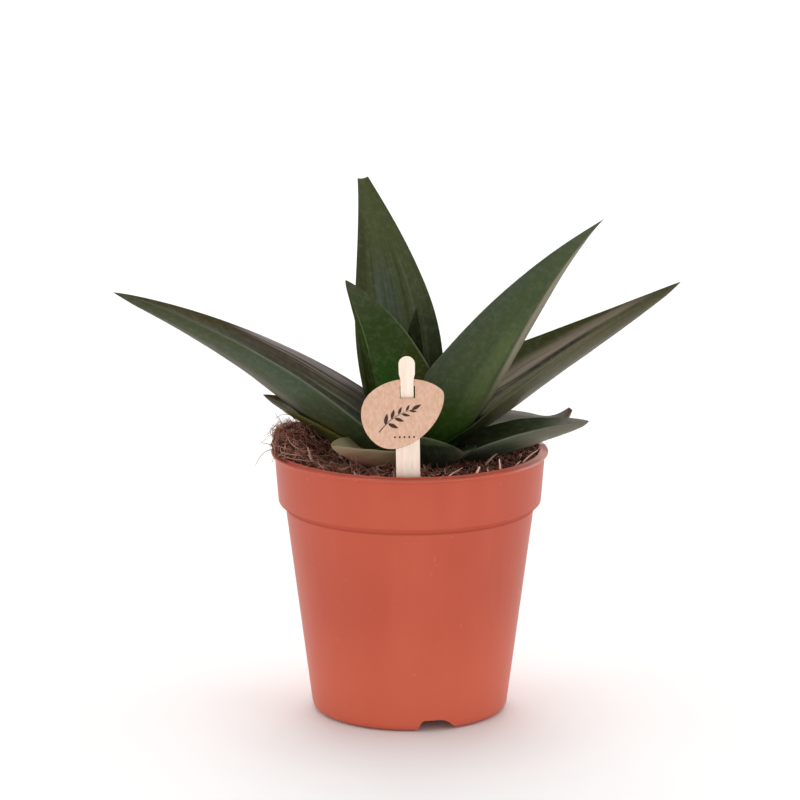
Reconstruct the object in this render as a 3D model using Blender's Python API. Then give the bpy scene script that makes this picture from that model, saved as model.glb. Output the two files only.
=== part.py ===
"""Potted haworthia: a keeled rosette in a 9 cm nursery pot, with a wooden label threaded on a stake.

Lengths below are millimetres and angles degrees; MM turns them into Blender's metres. The pot's axis is
the vertical line x = y = 0 while the pieces are made, and one empty moves them all so that the middle of
the whole outline stands over the world origin.
"""

import math

import bmesh
import bpy
from mathutils import Matrix, Vector

MM = 0.001
GAP = 0.3  # clearance between two pieces that touch
MERGE_DISTANCE = 0.000002  # metres

# ---------------------------------------------------------------- driving dimensions
POT_HEIGHT = 87.0
POT_WALL = 1.4
FOOT_RADIUS = 32.4  # outside, where the rounded foot meets the wall
FOOT_ROUND = 3.0
FOOT_INNER_RADIUS = 27.2
BASE_RECESS = 3.9  # the underside of the floor above the foot's face
FLOOR_TOP_Z = BASE_RECESS + POT_WALL
FLOOR_FILLET = 1.5
WALL_MIDDLE_Z = 35.0
CREASE_Z = 68.0
CREASE_RADIUS = 40.8
COLLAR_LOW_Z = 70.0
COLLAR_LOW_RADIUS = 43.1
COLLAR_ROUND = 0.6
COLLAR_TOP_Z = 84.0
COLLAR_TOP_RADIUS = 44.2
LIP_RADIUS = 45.0
LIP_THICKNESS = 1.9
LIP_ROUND = 0.6
POT_SEGMENTS = 48
NOTCHES = 3
FIRST_NOTCH_AZIMUTH = -75.0
NOTCH_WIDTH = 13.0
NOTCH_HEIGHT = 3.7
NOTCH_REACH = 8.0  # how far the cut runs each way along the radius
DRAIN_HOLES = 6
DRAIN_HOLE_RADIUS = 3.5
DRAIN_CIRCLE_RADIUS = 18.0
DRAIN_TURN = 32.0
DRAIN_SEGMENTS = 12

SOIL_LEVEL = 84.3
SOIL_MOUND = dict(x=-39.0, y=3.0, spread_x=15.0, spread_y=24.0, height=11.0)
SOIL_DIP = dict(x=34.0, y=-6.0, spread_x=16.0, spread_y=26.0, height=-2.2)
SOIL_OVERHANG_RADIUS = 45.6  # where the mound leans over the lip
SOIL_OVERHANG_START = 1.4  # height above the lip where it starts to lean out
SOIL_OVERHANG_RAMP = 2.5
SOIL_CLEARANCE = 0.5  # to the pot's wall
SOIL_BOTTOM_ROUND = 2.2
SOIL_SEGMENTS = 40
SOIL_TOP_RINGS = (0.96, 0.8, 0.6, 0.4, 0.2)  # shares of the rim's radius

CROWN_PROFILE = [(2.5, 62.0), (5.5, 68.0), (7.0, 81.0), (6.0, 87.0), (3.0, 90.0)]  # radius and height
CROWN_SEGMENTS = 16

STAKE_X = 0.0
STAKE_ROOT = (-33.8, 46.0)  # y and z of its pointed end
STAKE_LENGTH = 81.6
STAKE_LEAN = 8.0  # the top leans towards the front
STAKE_TURN = -0.8  # and a little to the left
STAKE_WIDTH = 7.6
STAKE_NECK_WIDTH = 4.1
STAKE_HEAD_WIDTH = 5.2
STAKE_THICKNESS = 0.8
STAKE_POINT_LENGTH = 9.0
STAKE_POINT_WIDTH = 1.6
SHOULDER_HEIGHT = 61.0  # along the stake, where it narrows to the neck
NECK_HEIGHT = 62.9
NECK_TOP_HEIGHT = 73.8
HEAD_HEIGHT = 76.3

DISC_RADIUS = 12.07
DISC_OVAL = dict(size=1.7, turn=26.0)
DISC_CORNERS = dict(size=0.7, turn=24.0)
DISC_SEGMENTS = 40
DISC_THICKNESS = 0.7
DISC_TILT = 24.0  # between the disc and the stake
DISC_CROSSING_HEIGHT = 69.7  # along the stake, where the two middle planes cross
DISC_CENTRE_BELOW_CROSSING = 6.2
DISC_CENTRE_X = -1.7
SLOT_WIDTH = 4.9
SLOT_SPARE = 0.65  # at each end of the slot

# The rosette, youngest leaf first. A leaf starts root_r from the crown's axis at root_z and points to
# azimuth (0 is +X, -90 the front). lean is its angle above the horizontal at the root and at the tip,
# and curl is added to it near the tip. channel and keel are depths as a share of half the width;
# keel_side moves the keel off the middle.
LEAF_DEFAULTS = dict(
    sweep=0.0, roll=0.0, twist=0.0, bend=1.0, channel=0.35, keel=0.45, keel_side=0.0, fullness=1.6,
    sharpness=0.85, root_r=6.0, root_z=85.0, waist=0.3, waist_length=0.25, cut=1.0, curl=0.0,
)
LEAVES = {
    "leaf_heart": dict(azimuth=75, lean=(82, 78), length=42, width=13, channel=0.4, keel=0.4,
                       root_r=1, root_z=91, waist=0.2),
    "leaf_front_upright": dict(azimuth=-119, sweep=-6, roll=3, lean=(73, 45), length=69.5, width=30,
                               channel=0.42, keel=0.46, keel_side=-0.15, root_r=3, root_z=90),
    "leaf_back_tall": dict(azimuth=103, sweep=10, roll=-8, twist=-2, lean=(71, 45), length=105.5,
                           width=36, keel=0.42, fullness=1.8, sharpness=1.3, root_r=4, root_z=88,
                           waist=0.5, waist_length=0.5, cut=0.9),
    "leaf_right_tall": dict(azimuth=-26, sweep=-21, roll=-27, twist=-11, lean=(56.5, 35), bend=2.3,
                            length=111.5, width=33.5, channel=0.3, keel=0.46, keel_side=0.3,
                            fullness=1.55, sharpness=1.3, root_r=5, root_z=86, waist=0.4),
    "leaf_left_long": dict(azimuth=180, sweep=13, roll=-11, twist=3, lean=(43, 20), length=108,
                           width=35, channel=0.4, keel=0.65, keel_side=0.1, fullness=1.1,
                           root_r=5, waist=0.2),
    "leaf_right_long": dict(azimuth=23, sweep=-23.5, roll=20, twist=-16.5, lean=(28.2, 33.7),
                            bend=1.5, length=101.2, width=38, channel=0.55, keel=0.4, fullness=1.1,
                            root_r=5, root_z=88, waist=0.35),
    "leaf_right_dry": dict(azimuth=12, roll=25, lean=(14, -3), length=53.5, width=26, channel=0.4,
                           fullness=1.8, sharpness=1.0, root_z=86, cut=0.96, curl=56),
    "leaf_front_right_low": dict(azimuth=-60, sweep=-18, roll=-12, twist=-2, lean=(16.5, 13),
                                 length=41, width=26, channel=0.45, keel=0.37, fullness=1.75,
                                 sharpness=0.8),
    "leaf_front_left_low": dict(azimuth=-129, sweep=8, roll=-5, twist=-3, lean=(13, 19.5),
                                length=38.5, width=25, keel=0.37, fullness=1.7),
    "leaf_right_low": dict(azimuth=-20.5, sweep=-12, roll=21, twist=-21, lean=(23.3, 13), bend=1.1,
                           length=61, width=26, channel=0.24, keel=0.48, fullness=2.05,
                           sharpness=0.76, root_z=83, waist=0.75, waist_length=0.7),
    "leaf_left_low": dict(azimuth=176, lean=(28, 24.5), length=47, width=23, fullness=1.5, root_z=84),
    "leaf_back_left_low": dict(azimuth=138, lean=(26, 14), length=44, width=24, root_z=84),
    "leaf_back_right_low": dict(azimuth=62, lean=(24, 10), length=46, width=24, root_z=84),
}
LEAF_RINGS = 18
LEAF_FACE_STEPS = (-1.0, -0.5, 0.0, 0.5, 1.0)  # across the channelled face, margins included
LEAF_EDGE = 0.5  # thickness of the margins
LEAF_GAP = 0.42  # leaves slope across each other, so this leaves about GAP between them
CURL_START = 0.68  # share of the length where a curled leaf turns up

OUTLINE_SHIFT = Vector((2.8, -0.9, 0.0))  # from the pot's axis to the middle of the whole outline

COLORS = {
    "plastic": (0.52, 0.13, 0.08, 1.0),
    "leaf": (0.035, 0.09, 0.03, 1.0),
    "young_leaf": (0.05, 0.14, 0.035, 1.0),
    "crown": (0.18, 0.2, 0.07, 1.0),
    "soil": (0.07, 0.035, 0.02, 1.0),
    "wood": (0.72, 0.52, 0.36, 1.0),
}


# ---------------------------------------------------------------- meshes
def clear_scene():
    for thing in list(bpy.data.objects):
        bpy.data.objects.remove(thing)


def material(name, color, roughness, metallic=0.0):
    made = bpy.data.materials.new(name)
    made.use_nodes = True
    shader = made.node_tree.nodes["Principled BSDF"]
    shader.inputs["Base Color"].default_value = color
    shader.inputs["Roughness"].default_value = roughness
    shader.inputs["Metallic"].default_value = metallic
    return made


def add_object(name, mesh, surface=None):
    thing = bpy.data.objects.new(name, mesh)
    bpy.context.scene.collection.objects.link(thing)
    if surface:
        mesh.materials.clear()
        mesh.materials.append(surface)
    return thing


def loft(name, rings, first_pole=None, last_pole=None):
    """A closed mesh through equal rings of points, ended by a flat cap or by a pole."""
    shape = bmesh.new()
    rows = [[shape.verts.new(point * MM) for point in ring] for ring in rings]
    count = len(rows[0])
    for low, high in zip(rows, rows[1:]):
        for i in range(count):
            j = (i + 1) % count
            shape.faces.new((low[i], low[j], high[j], high[i]))
    for row, pole in ((rows[0], first_pole), (rows[-1], last_pole)):
        if pole is None:
            shape.faces.new(row)
            continue
        tip = shape.verts.new(pole * MM)
        for i in range(count):
            shape.faces.new((row[i], row[(i + 1) % count], tip))
    bmesh.ops.recalc_face_normals(shape, faces=shape.faces)
    bmesh.ops.triangulate(shape, faces=shape.faces)
    mesh = bpy.data.meshes.new(name)
    shape.to_mesh(mesh)
    shape.free()
    return mesh


def turned(name, profile, segments, first_pole=None, last_pole=None):
    """A profile of (radius, height) points turned about the vertical axis."""
    rings = []
    for radius, height in profile:
        turn = [math.tau * i / segments for i in range(segments)]
        rings.append([Vector((radius * math.cos(a), radius * math.sin(a), height)) for a in turn])
    return loft(name, rings, first_pole, last_pole)


def prism(name, outline, low, high):
    """An outline of (x, z) points given a thickness along y."""
    rings = [[Vector((x, y, z)) for x, z in outline] for y in (low, high)]
    return loft(name, rings)


def as_cutter(thing):
    thing.hide_render = True
    thing.display_type = "WIRE"
    return thing


def cut(thing, cutter):
    step = thing.modifiers.new(cutter.name, "BOOLEAN")
    step.operation = "DIFFERENCE"
    step.solver = "EXACT"
    step.object = cutter


def cut_with_all(thing, cutters):
    """One Boolean with every cutter at once, for cutters that overlap each other."""
    group = bpy.data.collections.new(thing.name + "_cutters")
    bpy.context.scene.collection.children.link(group)
    for cutter in cutters:
        group.objects.link(cutter)
    step = thing.modifiers.new(group.name, "BOOLEAN")
    step.operation = "DIFFERENCE"
    step.solver = "EXACT"
    step.operand_type = "COLLECTION"
    step.collection = group


def settle(thing):
    """Applies the cuts and keeps the largest body, without the slivers that cuts leave."""
    graph = bpy.context.evaluated_depsgraph_get()
    mesh = bpy.data.meshes.new_from_object(thing.evaluated_get(graph))
    shape = bmesh.new()
    shape.from_mesh(mesh)
    bmesh.ops.remove_doubles(shape, verts=shape.verts, dist=MERGE_DISTANCE)
    bodies = []
    left = set(shape.verts)
    while left:
        body = set()
        front = [left.pop()]
        while front:
            vert = front.pop()
            body.add(vert)
            near = {edge.other_vert(vert) for edge in vert.link_edges} & left
            left -= near
            front.extend(near)
        bodies.append(body)
    largest = max(bodies, key=len)
    spare = [vert for vert in shape.verts if vert not in largest]
    bmesh.ops.delete(shape, geom=spare, context="VERTS")
    shape.to_mesh(mesh)
    shape.free()
    thing.modifiers.clear()
    thing.data = mesh


# ---------------------------------------------------------------- pot
def wall_radius(height):
    """The outside of the pot's body below the crease."""
    share = (height - FOOT_ROUND) / (CREASE_Z - FOOT_ROUND)
    return FOOT_RADIUS + share * (CREASE_RADIUS - FOOT_RADIUS)


def inner_radius(height):
    """The inside of the pot at a height, which the soil follows."""
    if height <= CREASE_Z:
        return wall_radius(height) - POT_WALL
    if height <= COLLAR_LOW_Z:
        share = (height - CREASE_Z) / (COLLAR_LOW_Z - CREASE_Z)
        return CREASE_RADIUS + share * (COLLAR_LOW_RADIUS - CREASE_RADIUS) - POT_WALL
    share = (height - COLLAR_LOW_Z) / (POT_HEIGHT - COLLAR_LOW_Z)
    return COLLAR_LOW_RADIUS - POT_WALL + share * (LIP_RADIUS - LIP_THICKNESS - COLLAR_LOW_RADIUS + POT_WALL)


def pot_profile():
    outside = [(FOOT_INNER_RADIUS, BASE_RECESS), (FOOT_INNER_RADIUS, 0.0)]
    for step in range(4):
        angle = math.radians(90.0 - 30.0 * step)
        reach = FOOT_RADIUS - FOOT_ROUND + FOOT_ROUND * math.cos(angle)
        outside.append((reach, FOOT_ROUND * (1.0 - math.sin(angle))))
    outside += [
        (wall_radius(WALL_MIDDLE_Z), WALL_MIDDLE_Z),
        (CREASE_RADIUS, CREASE_Z),
        (COLLAR_LOW_RADIUS - COLLAR_ROUND / 2, COLLAR_LOW_Z - COLLAR_ROUND),
        (COLLAR_LOW_RADIUS, COLLAR_LOW_Z),
        (COLLAR_TOP_RADIUS, COLLAR_TOP_Z),
        (LIP_RADIUS, COLLAR_TOP_Z + 0.9),
        (LIP_RADIUS, POT_HEIGHT - LIP_ROUND),
        (LIP_RADIUS - LIP_ROUND, POT_HEIGHT),
    ]
    inside = [
        (LIP_RADIUS - LIP_THICKNESS + LIP_ROUND, POT_HEIGHT),
        (inner_radius(POT_HEIGHT - LIP_ROUND), POT_HEIGHT - LIP_ROUND),
        (inner_radius(COLLAR_LOW_Z), COLLAR_LOW_Z),
        (inner_radius(CREASE_Z), CREASE_Z),
        (inner_radius(WALL_MIDDLE_Z), WALL_MIDDLE_Z),
        (inner_radius(FLOOR_TOP_Z + FLOOR_FILLET), FLOOR_TOP_Z + FLOOR_FILLET),
        (inner_radius(FLOOR_TOP_Z) - FLOOR_FILLET, FLOOR_TOP_Z),
    ]
    return outside + inside


def notch_cutter(azimuth):
    """An arch through the foot: steep on one side, with a long curve on the other."""
    outline = [(-0.52, -0.8), (-0.42, 0.3), (-0.36, 0.85), (-0.28, 1.0), (0.1, 1.0), (0.28, 0.85),
               (0.45, 0.4), (0.66, -0.2), (0.8, -0.8)]
    points = [(share * NOTCH_WIDTH, height * NOTCH_HEIGHT) for share, height in outline]
    mesh = prism("notch", points, -NOTCH_REACH, NOTCH_REACH)
    thing = as_cutter(add_object("cutter_notch", mesh))
    turn = Matrix.Rotation(math.radians(azimuth + 90.0), 4, "Z")
    middle_radius = (FOOT_RADIUS + FOOT_INNER_RADIUS) / 2
    thing.data.transform(turn @ Matrix.Translation(Vector((0.0, -middle_radius, 0.0)) * MM))
    return thing


def make_pot():
    floor_low = Vector((0.0, 0.0, BASE_RECESS))
    floor_high = Vector((0.0, 0.0, FLOOR_TOP_Z))
    mesh = turned("pot", pot_profile(), POT_SEGMENTS, floor_low, floor_high)
    pot = add_object("pot", mesh, material("plastic", COLORS["plastic"], 0.45))
    for i in range(NOTCHES):
        cut(pot, notch_cutter(FIRST_NOTCH_AZIMUTH + 360.0 * i / NOTCHES))
    for i in range(DRAIN_HOLES):
        angle = math.radians(DRAIN_TURN + 360.0 * i / DRAIN_HOLES)
        place = Vector((math.cos(angle), math.sin(angle), 0.0)) * DRAIN_CIRCLE_RADIUS
        rim = [(DRAIN_HOLE_RADIUS, BASE_RECESS - 2.0), (DRAIN_HOLE_RADIUS, FLOOR_TOP_Z + 2.0)]
        hole = as_cutter(add_object("cutter_drain", turned("drain", rim, DRAIN_SEGMENTS)))
        hole.data.transform(Matrix.Translation(place * MM))
        cut(pot, hole)
    settle(pot)
    return pot


# ---------------------------------------------------------------- leaves
def leaf_frames(leaf):
    """The middle line of a leaf with its side and face directions and the share of the full length."""
    azimuth = math.radians(leaf["azimuth"])
    start = Vector((math.cos(azimuth), math.sin(azimuth), 0.0)) * leaf["root_r"]
    place = start + Vector((0.0, 0.0, leaf["root_z"]))
    frames = []
    step = leaf["length"] * leaf["cut"] / LEAF_RINGS
    last = None
    for i in range(LEAF_RINGS + 1):
        share = leaf["cut"] * i / LEAF_RINGS
        low, high = leaf["lean"]
        rise = min(1.0, max(0.0, (share - CURL_START) / (leaf["cut"] - CURL_START)))
        curl = leaf["curl"] * rise**2 * (3.0 - 2.0 * rise)
        lean = math.radians(low + (high - low) * share ** leaf["bend"] + curl)
        heading = azimuth + math.radians(leaf["sweep"]) * share
        ahead = Vector((math.cos(heading), math.sin(heading), 0.0))
        along = ahead * math.cos(lean) + Vector((0.0, 0.0, math.sin(lean)))
        if last is not None:
            place = place + (along + last) * (step / 2)
        last = along
        side = Vector((-math.sin(heading), math.cos(heading), 0.0))
        face = along.cross(side)
        roll = math.radians(leaf["roll"] + leaf["twist"] * share)
        rolled_side = side * math.cos(roll) + face * math.sin(roll)
        rolled_face = face * math.cos(roll) - side * math.sin(roll)
        frames.append((share, place.copy(), along, rolled_side, rolled_face))
    return frames


def leaf_half_width(leaf, share):
    taper = max(0.0, 1.0 - share ** leaf["fullness"]) ** leaf["sharpness"]
    near_root = max(0.0, 1.0 - share / leaf["waist_length"])
    return leaf["width"] / 2 * taper * (1.0 - leaf["waist"] * near_root**2)


def leaf_section(leaf, half, grow):
    """One cross-section as (side, face) offsets: the channelled face, then the keeled back."""
    keel_side = leaf["keel_side"]
    section = []
    for u in LEAF_FACE_STEPS:
        section.append((u * half, leaf["channel"] * u * u * half + grow))
    for u in (1.0, 0.75, 0.4, keel_side, -0.4, -0.75, -1.0):
        reach = (1.0 - u) / (1.0 - keel_side) if u > keel_side else (1.0 + u) / (1.0 + keel_side)
        depth = leaf["channel"] * u * u - leaf["keel"] * reach**0.8
        section.append((u * half, depth * half - LEAF_EDGE - grow))
    return [(x + math.copysign(grow, x) * (abs(x) == half), z) for x, z in section]


def leaf_mesh(name, leaf, grow=0.0):
    """A leaf, or with grow the same leaf made thicker all round, to cut its neighbours with."""
    frames = leaf_frames(leaf)
    rings = []
    for share, place, along, side, face in frames:
        half = leaf_half_width(leaf, share)
        rings.append([place + side * x + face * z for x, z in leaf_section(leaf, half, grow)])
    tip = None
    if leaf["cut"] == 1.0:
        rings.pop()
        tip = frames[-1][1] + frames[-1][2] * grow * 2.0
    if grow:
        rings[0] = [point - frames[0][2] * 2.0 for point in rings[0]]
        rings[-1] = [point + frames[-1][2] * grow for point in rings[-1]]
    return loft(name, rings, None, tip)


def crown_mesh(name, grow=0.0):
    profile = [(radius + grow, height) for radius, height in CROWN_PROFILE]
    profile[0] = (profile[0][0], profile[0][1] - grow)
    profile[-1] = (profile[-1][0], profile[-1][1] + grow)
    return turned(name, profile, CROWN_SEGMENTS)


def make_plant():
    """The crown and the leaves. Each older leaf gives way to the crown and to every younger leaf."""
    crown = add_object("root_crown", crown_mesh("root_crown"), material("crown", COLORS["crown"], 0.6))
    leaf_surface = material("leaf", COLORS["leaf"], 0.38)
    young_surface = material("young_leaf", COLORS["young_leaf"], 0.38)
    cutters = [as_cutter(add_object("cutter_crown", crown_mesh("crown_cutter", GAP)))]
    leaves = []
    for name, choices in LEAVES.items():
        leaf = {**LEAF_DEFAULTS, **choices}
        surface = young_surface if len(leaves) < 2 else leaf_surface
        blade = add_object(name, leaf_mesh(name, leaf), surface)
        for cutter in cutters:
            cut(blade, cutter)
        settle(blade)
        leaves.append(blade)
        cutters.append(as_cutter(add_object("cutter_" + name, leaf_mesh(name + "_cutter", leaf, LEAF_GAP))))
    return [crown] + leaves, cutters


# ---------------------------------------------------------------- label
def stake_matrix():
    """Places a stake made upright from its own foot, facing the front."""
    foot = Vector((STAKE_X, STAKE_ROOT[0], STAKE_ROOT[1]))
    lean = Matrix.Rotation(math.radians(STAKE_LEAN), 4, "X")
    return Matrix.Translation(foot * MM) @ Matrix.Rotation(math.radians(STAKE_TURN), 4, "Y") @ lean


def stake_outline(grow=0.0):
    """Half of the stake's outline as (half width, height), from its point up to its round head."""
    low = STAKE_WIDTH / 2 + grow
    neck = STAKE_NECK_WIDTH / 2 + grow
    head = STAKE_HEAD_WIDTH / 2 + grow
    right = [(STAKE_POINT_WIDTH / 2 + grow, -grow), (low, STAKE_POINT_LENGTH), (low, SHOULDER_HEIGHT),
             (neck, NECK_HEIGHT), (neck, NECK_TOP_HEIGHT), (head, HEAD_HEIGHT)]
    centre = STAKE_LENGTH - STAKE_HEAD_WIDTH / 2
    for step in range(6):
        angle = math.radians(15.0 * step)
        right.append((head * math.cos(angle), centre + head * math.sin(angle)))
    left = [(-x, z) for x, z in reversed(right)]
    return right + left


def make_stake():
    half = STAKE_THICKNESS / 2
    stake = add_object("label_stake", prism("label_stake", stake_outline(), -half, half),
                       material("stake_wood", COLORS["wood"], 0.6))
    stake.data.transform(stake_matrix())
    grown = prism("stake_cutter", stake_outline(GAP), -half - GAP, half + GAP)
    grown.transform(stake_matrix())
    return stake, as_cutter(add_object("cutter_stake", grown))


def disc_outline():
    """A pebble with one blunt corner at the upper right: its reach along each direction is a wave."""
    outline = []
    for i in range(DISC_SEGMENTS):
        angle = math.tau * i / DISC_SEGMENTS
        oval = 2 * (angle - math.radians(DISC_OVAL["turn"]))
        corner = 3 * (angle - math.radians(DISC_CORNERS["turn"]))
        reach = DISC_RADIUS + DISC_OVAL["size"] * math.cos(oval) + DISC_CORNERS["size"] * math.cos(corner)
        slip = -2 * DISC_OVAL["size"] * math.sin(oval) - 3 * DISC_CORNERS["size"] * math.sin(corner)
        x = reach * math.cos(angle) - slip * math.sin(angle)
        z = reach * math.sin(angle) + slip * math.cos(angle)
        outline.append((DISC_CENTRE_X + x, z - DISC_CENTRE_BELOW_CROSSING))
    return outline


def make_disc():
    """The disc lies in its own plane about the slot, which then crosses the stake."""
    half = DISC_THICKNESS / 2
    disc = add_object("label_disc", prism("label_disc", disc_outline(), -half, half),
                      material("disc_wood", COLORS["wood"], 0.6))
    slope = math.sin(math.radians(DISC_TILT))
    slot_half = (STAKE_THICKNESS + DISC_THICKNESS) / 2 / slope + SLOT_SPARE
    wide = SLOT_WIDTH / 2
    corners = [(wide, -slot_half), (wide, slot_half), (-wide, slot_half), (-wide, -slot_half)]
    slot = as_cutter(add_object("cutter_slot", prism("slot", corners, -3.0, 3.0)))
    cut(disc, slot)
    settle(disc)
    place = stake_matrix() @ Matrix.Translation(Vector((0.0, 0.0, DISC_CROSSING_HEIGHT)) * MM)
    disc.data.transform(place @ Matrix.Rotation(math.radians(-DISC_TILT), 4, "X"))
    return disc


# ---------------------------------------------------------------- soil
def hump(shape, x, y):
    across = ((x - shape["x"]) / shape["spread_x"]) ** 2 + ((y - shape["y"]) / shape["spread_y"]) ** 2
    return shape["height"] * math.exp(-across)


def soil_height(x, y):
    crumbs = 0.5 * math.sin(0.45 * x + 1.3) * math.sin(0.38 * y + 0.4) + 0.3 * math.sin(0.9 * x - 0.7 * y)
    return SOIL_LEVEL + hump(SOIL_MOUND, x, y) + hump(SOIL_DIP, x, y) + crumbs


def soil_lower_rings(turn):
    """The part inside the pot, which follows its wall."""
    rings = []
    bottom = FLOOR_TOP_Z + GAP
    levels = [(bottom, SOIL_BOTTOM_ROUND), (bottom + SOIL_BOTTOM_ROUND, 0.0), (WALL_MIDDLE_Z, 0.0),
              (CREASE_Z, 0.0), (COLLAR_LOW_Z, 0.0)]
    for height, inset in levels:
        radius = inner_radius(height) - SOIL_CLEARANCE - inset
        rings.append([Vector((radius * math.cos(a), radius * math.sin(a), height)) for a in turn])
    return rings


def soil_edge_rings(turn):
    """The edge against the wall, and the outline of the surface, which leans over the lip at the mound."""
    wall, outline = [], []
    edge = inner_radius(COLLAR_TOP_Z - 3.0) - SOIL_CLEARANCE
    for a in turn:
        top = soil_height(edge * math.cos(a), edge * math.sin(a))
        lean = min(1.0, max(0.0, (top - POT_HEIGHT - SOIL_OVERHANG_START) / SOIL_OVERHANG_RAMP))
        height = min(top - 0.8, POT_HEIGHT + 0.4)
        wall.append(Vector((edge * math.cos(a), edge * math.sin(a), height)))
        reach = edge + lean * (SOIL_OVERHANG_RADIUS - edge)
        outline.append(Vector((reach * math.cos(a), reach * math.sin(a), height + 0.15 + 0.3 * lean)))
    return wall, outline


def make_soil(cutters):
    """Fills the pot, with a mound at the left that leans over the lip."""
    turn = [math.tau * i / SOIL_SEGMENTS for i in range(SOIL_SEGMENTS)]
    wall, outline = soil_edge_rings(turn)
    rings = soil_lower_rings(turn) + [wall, outline]
    for share in SOIL_TOP_RINGS:
        spots = [(point.x * share, point.y * share) for point in outline]
        rings.append([Vector((x, y, soil_height(x, y))) for x, y in spots])
    bottom = Vector((0.0, 0.0, FLOOR_TOP_Z + GAP))
    top = Vector((0.0, 0.0, soil_height(0.0, 0.0)))
    soil = add_object("soil", loft("soil", rings, bottom, top), material("soil", COLORS["soil"], 0.95))
    cut_with_all(soil, cutters)
    settle(soil)
    return soil


def main():
    clear_scene()
    pot = make_pot()
    plant, plant_cutters = make_plant()
    stake, stake_cutter = make_stake()
    disc = make_disc()
    soil = make_soil(plant_cutters + [stake_cutter])
    base = bpy.data.objects.new("outline_middle", None)
    bpy.context.scene.collection.objects.link(base)
    base.location = OUTLINE_SHIFT * MM
    for thing in [pot, soil, stake, disc] + plant:
        thing.parent = base
        thing.data.shade_smooth()
        thing.data.set_sharp_from_angle(angle=math.radians(35.0))


main()
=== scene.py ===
"""The looks of a potted haworthia: thick keeled leaves, a moulded pot, coir soil and a wooden label.

Lengths are millimetres and angles degrees in the values below; MM turns lengths into metres. The pot's
axis is read from the CAD pot, and every piece is placed from it.
"""

import math

import bmesh
import bpy
from mathutils import Matrix, Vector, noise


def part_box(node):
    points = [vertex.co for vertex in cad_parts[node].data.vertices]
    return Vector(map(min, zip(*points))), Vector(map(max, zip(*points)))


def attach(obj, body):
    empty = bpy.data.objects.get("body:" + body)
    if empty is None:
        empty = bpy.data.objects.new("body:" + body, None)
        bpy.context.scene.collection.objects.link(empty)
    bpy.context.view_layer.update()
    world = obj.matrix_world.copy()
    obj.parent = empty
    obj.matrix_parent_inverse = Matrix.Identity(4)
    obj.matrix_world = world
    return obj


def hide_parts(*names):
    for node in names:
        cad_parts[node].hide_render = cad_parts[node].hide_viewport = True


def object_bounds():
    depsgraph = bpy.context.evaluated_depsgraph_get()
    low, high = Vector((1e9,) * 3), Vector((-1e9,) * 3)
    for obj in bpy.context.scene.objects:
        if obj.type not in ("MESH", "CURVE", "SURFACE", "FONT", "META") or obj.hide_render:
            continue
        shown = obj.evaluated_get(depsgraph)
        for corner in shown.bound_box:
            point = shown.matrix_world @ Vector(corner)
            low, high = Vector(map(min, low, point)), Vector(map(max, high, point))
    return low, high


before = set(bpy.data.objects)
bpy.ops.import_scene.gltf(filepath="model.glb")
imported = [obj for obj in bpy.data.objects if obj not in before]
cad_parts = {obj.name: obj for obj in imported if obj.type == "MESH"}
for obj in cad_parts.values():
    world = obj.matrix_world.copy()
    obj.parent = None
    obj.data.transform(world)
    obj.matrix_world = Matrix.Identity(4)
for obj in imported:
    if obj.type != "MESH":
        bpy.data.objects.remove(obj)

MM = 0.001
CAD_LOW, CAD_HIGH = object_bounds()
POT_LOW, POT_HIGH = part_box("pot")
POT_AXIS = Vector(((POT_LOW.x + POT_HIGH.x) / 2, (POT_LOW.y + POT_HIGH.y) / 2, 0.0))

# ---------------------------------------------------------------- sizes of the pot
FOOT_INNER_RADIUS = 27.2
FOOT_RADIUS = 32.4
FOOT_ROUND = 3.0
BASE_RECESS = 3.9
POT_WALL = 1.4
CREASE = (40.8, 68.0)  # radius and height, as for the collar's two corners
COLLAR_LOW = (43.1, 70.0)
COLLAR_TOP = (44.2, 84.0)
LIP_RADIUS = 45.0
INSIDE_TOP_RADIUS = 43.1
LIP_FLARE = 0.5
LIP_STEP = 0.3  # the flange lies this far below the pot's height and the inner edge as far above it
LIP_GROOVE_RADIUS = 43.5  # where the flange meets the raised inner edge
POT_HEIGHT = POT_HIGH.z / MM
POT_SEGMENTS = 180
NOTCH_AZIMUTHS = (-75.0, 45.0, 165.0)
NOTCH_WIDTH = 13.0
NOTCH_HEIGHT = 3.7
NOTCH_CUT = 16.0  # length of the cutter, across the foot ring
DRAIN_HOLES = 6
DRAIN_HOLE_RADIUS = 3.5
DRAIN_CIRCLE_RADIUS = 18.0
DRAIN_TURN = 32.0
DRAIN_SEGMENTS = 32
DRAIN_CUT_SPARE = 2.0  # the cutter goes this far past each side of the floor
# The lip's paleness is a painted highlight, which grows toward +x.
LIP_HIGHLIGHT_SIDE = (28.0, 44.0)  # the lip pales from the one x to the other
SCUFF_HEIGHT = 14.0

# ---------------------------------------------------------------- sizes of the soil
SOIL_LEVEL = 83.9
SOIL_MOUND = dict(x=-37.5, y=1.0, spread_x=13.5, spread_y=27.0, height=10.4)
SOIL_DIP = dict(x=34.0, y=-6.0, spread_x=16.0, spread_y=26.0, height=-0.9)
SOIL_HOLLOW = dict(x=-26.0, y=-11.0, spread_x=8.0, spread_y=9.0, height=-4.6)
SOIL_BANK = dict(x=43.0, y=8.0, spread_x=10.0, spread_y=24.0, height=3.2)
SOIL_SHAPES = (SOIL_MOUND, SOIL_DIP, SOIL_HOLLOW, SOIL_BANK)
SOIL_OVERHANG_RADIUS = 45.1
SOIL_WALL_GAP = 0.4
SOIL_SEGMENTS = 144
SOIL_TOP_RINGS = 46
BARE_RADIUS = 16.0  # nothing loose lies nearer than this to the pot's axis
FIBRE_REACH = 42.1  # fibres below the lip stay inside the wall,
FREE_SIDE_X = -33.0  # but not on the side where the mound hangs over it
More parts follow.
